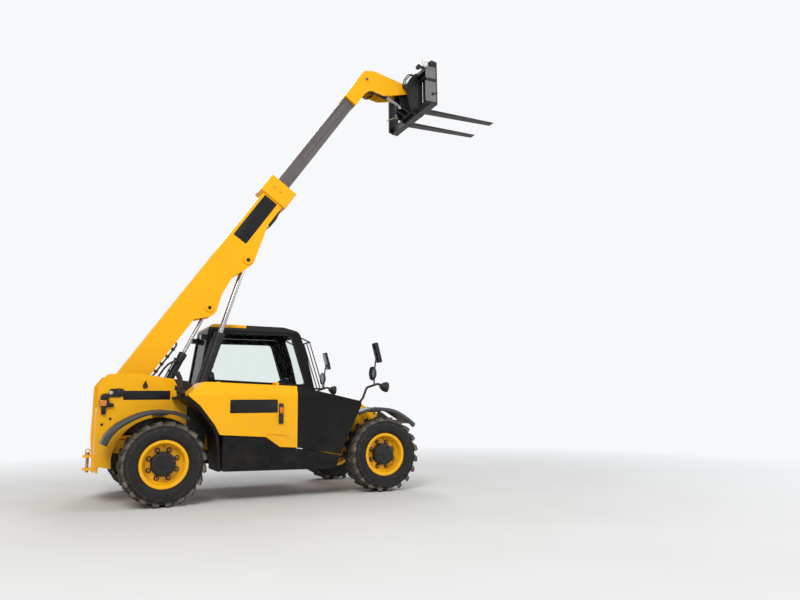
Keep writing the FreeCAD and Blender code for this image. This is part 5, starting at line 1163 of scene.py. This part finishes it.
RIGHT_WINDOW = [(-0.590, 1.290, 0.040), (0.615, 1.230, 0.030),
                (0.415, 1.850, 0.090), (-0.540, 1.850, 0.040)]
LEFT_DOOR_WINDOW = [(-0.460, 1.150, 0.040), (0.557, 1.150, 0.030),
                    (0.363, 1.785, 0.060), (-0.460, 1.785, 0.040)]
for name, corners, y, out, body in (("side_window_seal", RIGHT_WINDOW, 0.1705, -1, "machine"),
                                    ("door_window_seal", LEFT_DOOR_WINDOW, 0.8795, 1, "door")):
    form = bmesh.new()
    seal(form, corners, y, out)
    end_piece(name, form, seal_rubber, body)

# %% [markdown]
# Cab fittings: a wiper over the windscreen with its motor's cap, a grab handle beside the door, and
# a filler cap on the tank. Bars are swept along a few points, the round caps are turned.

# %% Cab fittings
form = bmesh.new()
hose(form, [at(0.722, 0.500, 1.262), at(0.716, 0.480, 1.300), at(0.655, 0.400, 1.560)], 0.006, 0.02, 10)
hose(form, [at(0.708, 0.360, 1.330), at(0.655, 0.405, 1.560), at(0.608, 0.440, 1.730)], 0.008, 0.02, 8)
turned_bar(form, at(0.700, 0.500, 1.256), at(0.728, 0.500, 1.262), 0.016, 20, 0.002)
hose(form, [at(0.655, 0.876, 1.300), at(0.655, 0.915, 1.300), at(0.575, 0.915, 1.600),
            at(0.575, 0.876, 1.600)], 0.011, 0.03, 14)
spun(form, [(-0.006, 0.045), (0.010, 0.045), (0.014, 0.040), (0.020, 0.038), (0.026, 0.034), (0.026, 0.0)],
     Matrix.Translation(at(-0.300, 0.852, 0.385)), 32)
end_piece("cab_fittings", form, trim_plastic, "machine")

# %% [markdown]
# Seat cushions are foam under a stretched cover, so their faces crown and their edges pull in. They
# start from the CAD's plain solids: remeshed evenly, shrunk a little, blown up as cloth with
# pressure, held to a small movement and rounded by one subdivision. The sewn channels are finer than
# the remesh, so they are pressed in last.

# %% Seat cushions
VOXEL = 0.012
SHRINK = 0.009
SWELL_CAP = 0.012
PRESSURE = 4
CLOTH_STEPS = 20
CHANNEL_DEPTH = 0.006
CHANNEL_WIDTH = 0.007
FACING = 0.4


def moved_points(mesh, change):
    for vert in mesh.vertices:
        vert.co = change(vert)


def baked(thing):
    """Mesh of an object with its modifiers applied."""
    shown = thing.evaluated_get(bpy.context.evaluated_depsgraph_get())
    return bpy.data.meshes.new_from_object(shown)


def sewn(node_name, name, face, channels):
    """Padded piece from a CAD node; channels are Y places pressed into the side that face points to."""
    made = bpy.data.objects.new(name, nodes[node_name].data.copy())
    scene.collection.objects.link(made)
    even = made.modifiers.new("even", "REMESH")
    even.mode, even.voxel_size = "VOXEL", VOXEL
    made.data = baked(made)
    made.modifiers.clear()
    moved_points(made.data, lambda vert: vert.co - vert.normal * SHRINK)
    before = [vert.co.copy() for vert in made.data.vertices]
    swell = made.modifiers.new("swell", "CLOTH")
    swell.settings.use_pressure = True
    swell.settings.uniform_pressure_force = PRESSURE
    swell.settings.effector_weights.gravity = 0
    for frame_number in range(1, CLOTH_STEPS + 1):
        scene.frame_set(frame_number)
    puffed = baked(made)
    scene.frame_set(1)
    made.modifiers.clear()
    made.data = puffed
    for vert, start in zip(made.data.vertices, before):
        step = vert.co - start
        if step.length > SWELL_CAP:
            vert.co = start + step.normalized() * SWELL_CAP
    smooth = made.modifiers.new("smooth", "SUBSURF")
    smooth.levels = smooth.render_levels = 1
    made.data = baked(made)
    made.modifiers.clear()

    def pressed(vert):
        if vert.normal.dot(face) < FACING:
            return vert.co
        depth = sum(CHANNEL_DEPTH * math.exp(-((vert.co.y - y) / CHANNEL_WIDTH) ** 2) for y in channels)
        return vert.co - face * depth

    moved_points(made.data, pressed)
    for polygon in made.data.polygons:
        polygon.use_smooth = True
    made.data.materials.clear()
    made.data.materials.append(cloth)
    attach(made, "machine")
    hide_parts(node_name)
    print(name, "faces:", len(made.data.polygons))


CHANNELS = (0.445, 0.675)
sewn("seat_cushion", "sewn_seat_cushion", Vector((0, 0, 1)), CHANNELS)
sewn("seat_back", "sewn_seat_back", Vector((0.99, 0, 0.13)), CHANNELS)

# %% [markdown]
# The floor is a pale sheet that is not part of the machine. It keeps the shadow, which seats the
# tyres, and it fades into the backdrop's own colour with the distance, so no horizon shows.

# %% Floor
FADE_START = 3.0
FADE_END = 8.0
floor_mesh = bpy.data.meshes.new("floor")
floor_form = bmesh.new()
bmesh.ops.create_grid(floor_form, x_segments=1, y_segments=1, size=60)
floor_form.to_mesh(floor_mesh)
floor_form.free()
floor = bpy.data.objects.new("floor", floor_mesh)
scene.collection.objects.link(floor)
ground = Finish("pale_floor", (0.66, 0.65, 0.63), 0.9)
ground.colour(ground.mix(ground.ramp(ground.noise(0.8, 5.0), 0.3, 0.7),
                         (0.67, 0.66, 0.64), (0.63, 0.62, 0.60)))
reach = ground.node("ShaderNodeVectorMath", {0: ground.place}, operation="LENGTH").outputs["Value"]
fade = ground.math("MULTIPLY", ground.ramp(reach, FADE_START, FADE_END), seen_rays(ground.tree))
haze = ground.node("ShaderNodeEmission", {"Color": PALE, "Strength": 1.0})
blend = ground.node("ShaderNodeMixShader", {0: fade, 1: ground.shader.outputs[0], 2: haze.outputs[0]})
ground.tree.links.new(blend.outputs[0], ground.tree.nodes["Material Output"].inputs["Surface"])
floor.data.materials.append(ground.material)
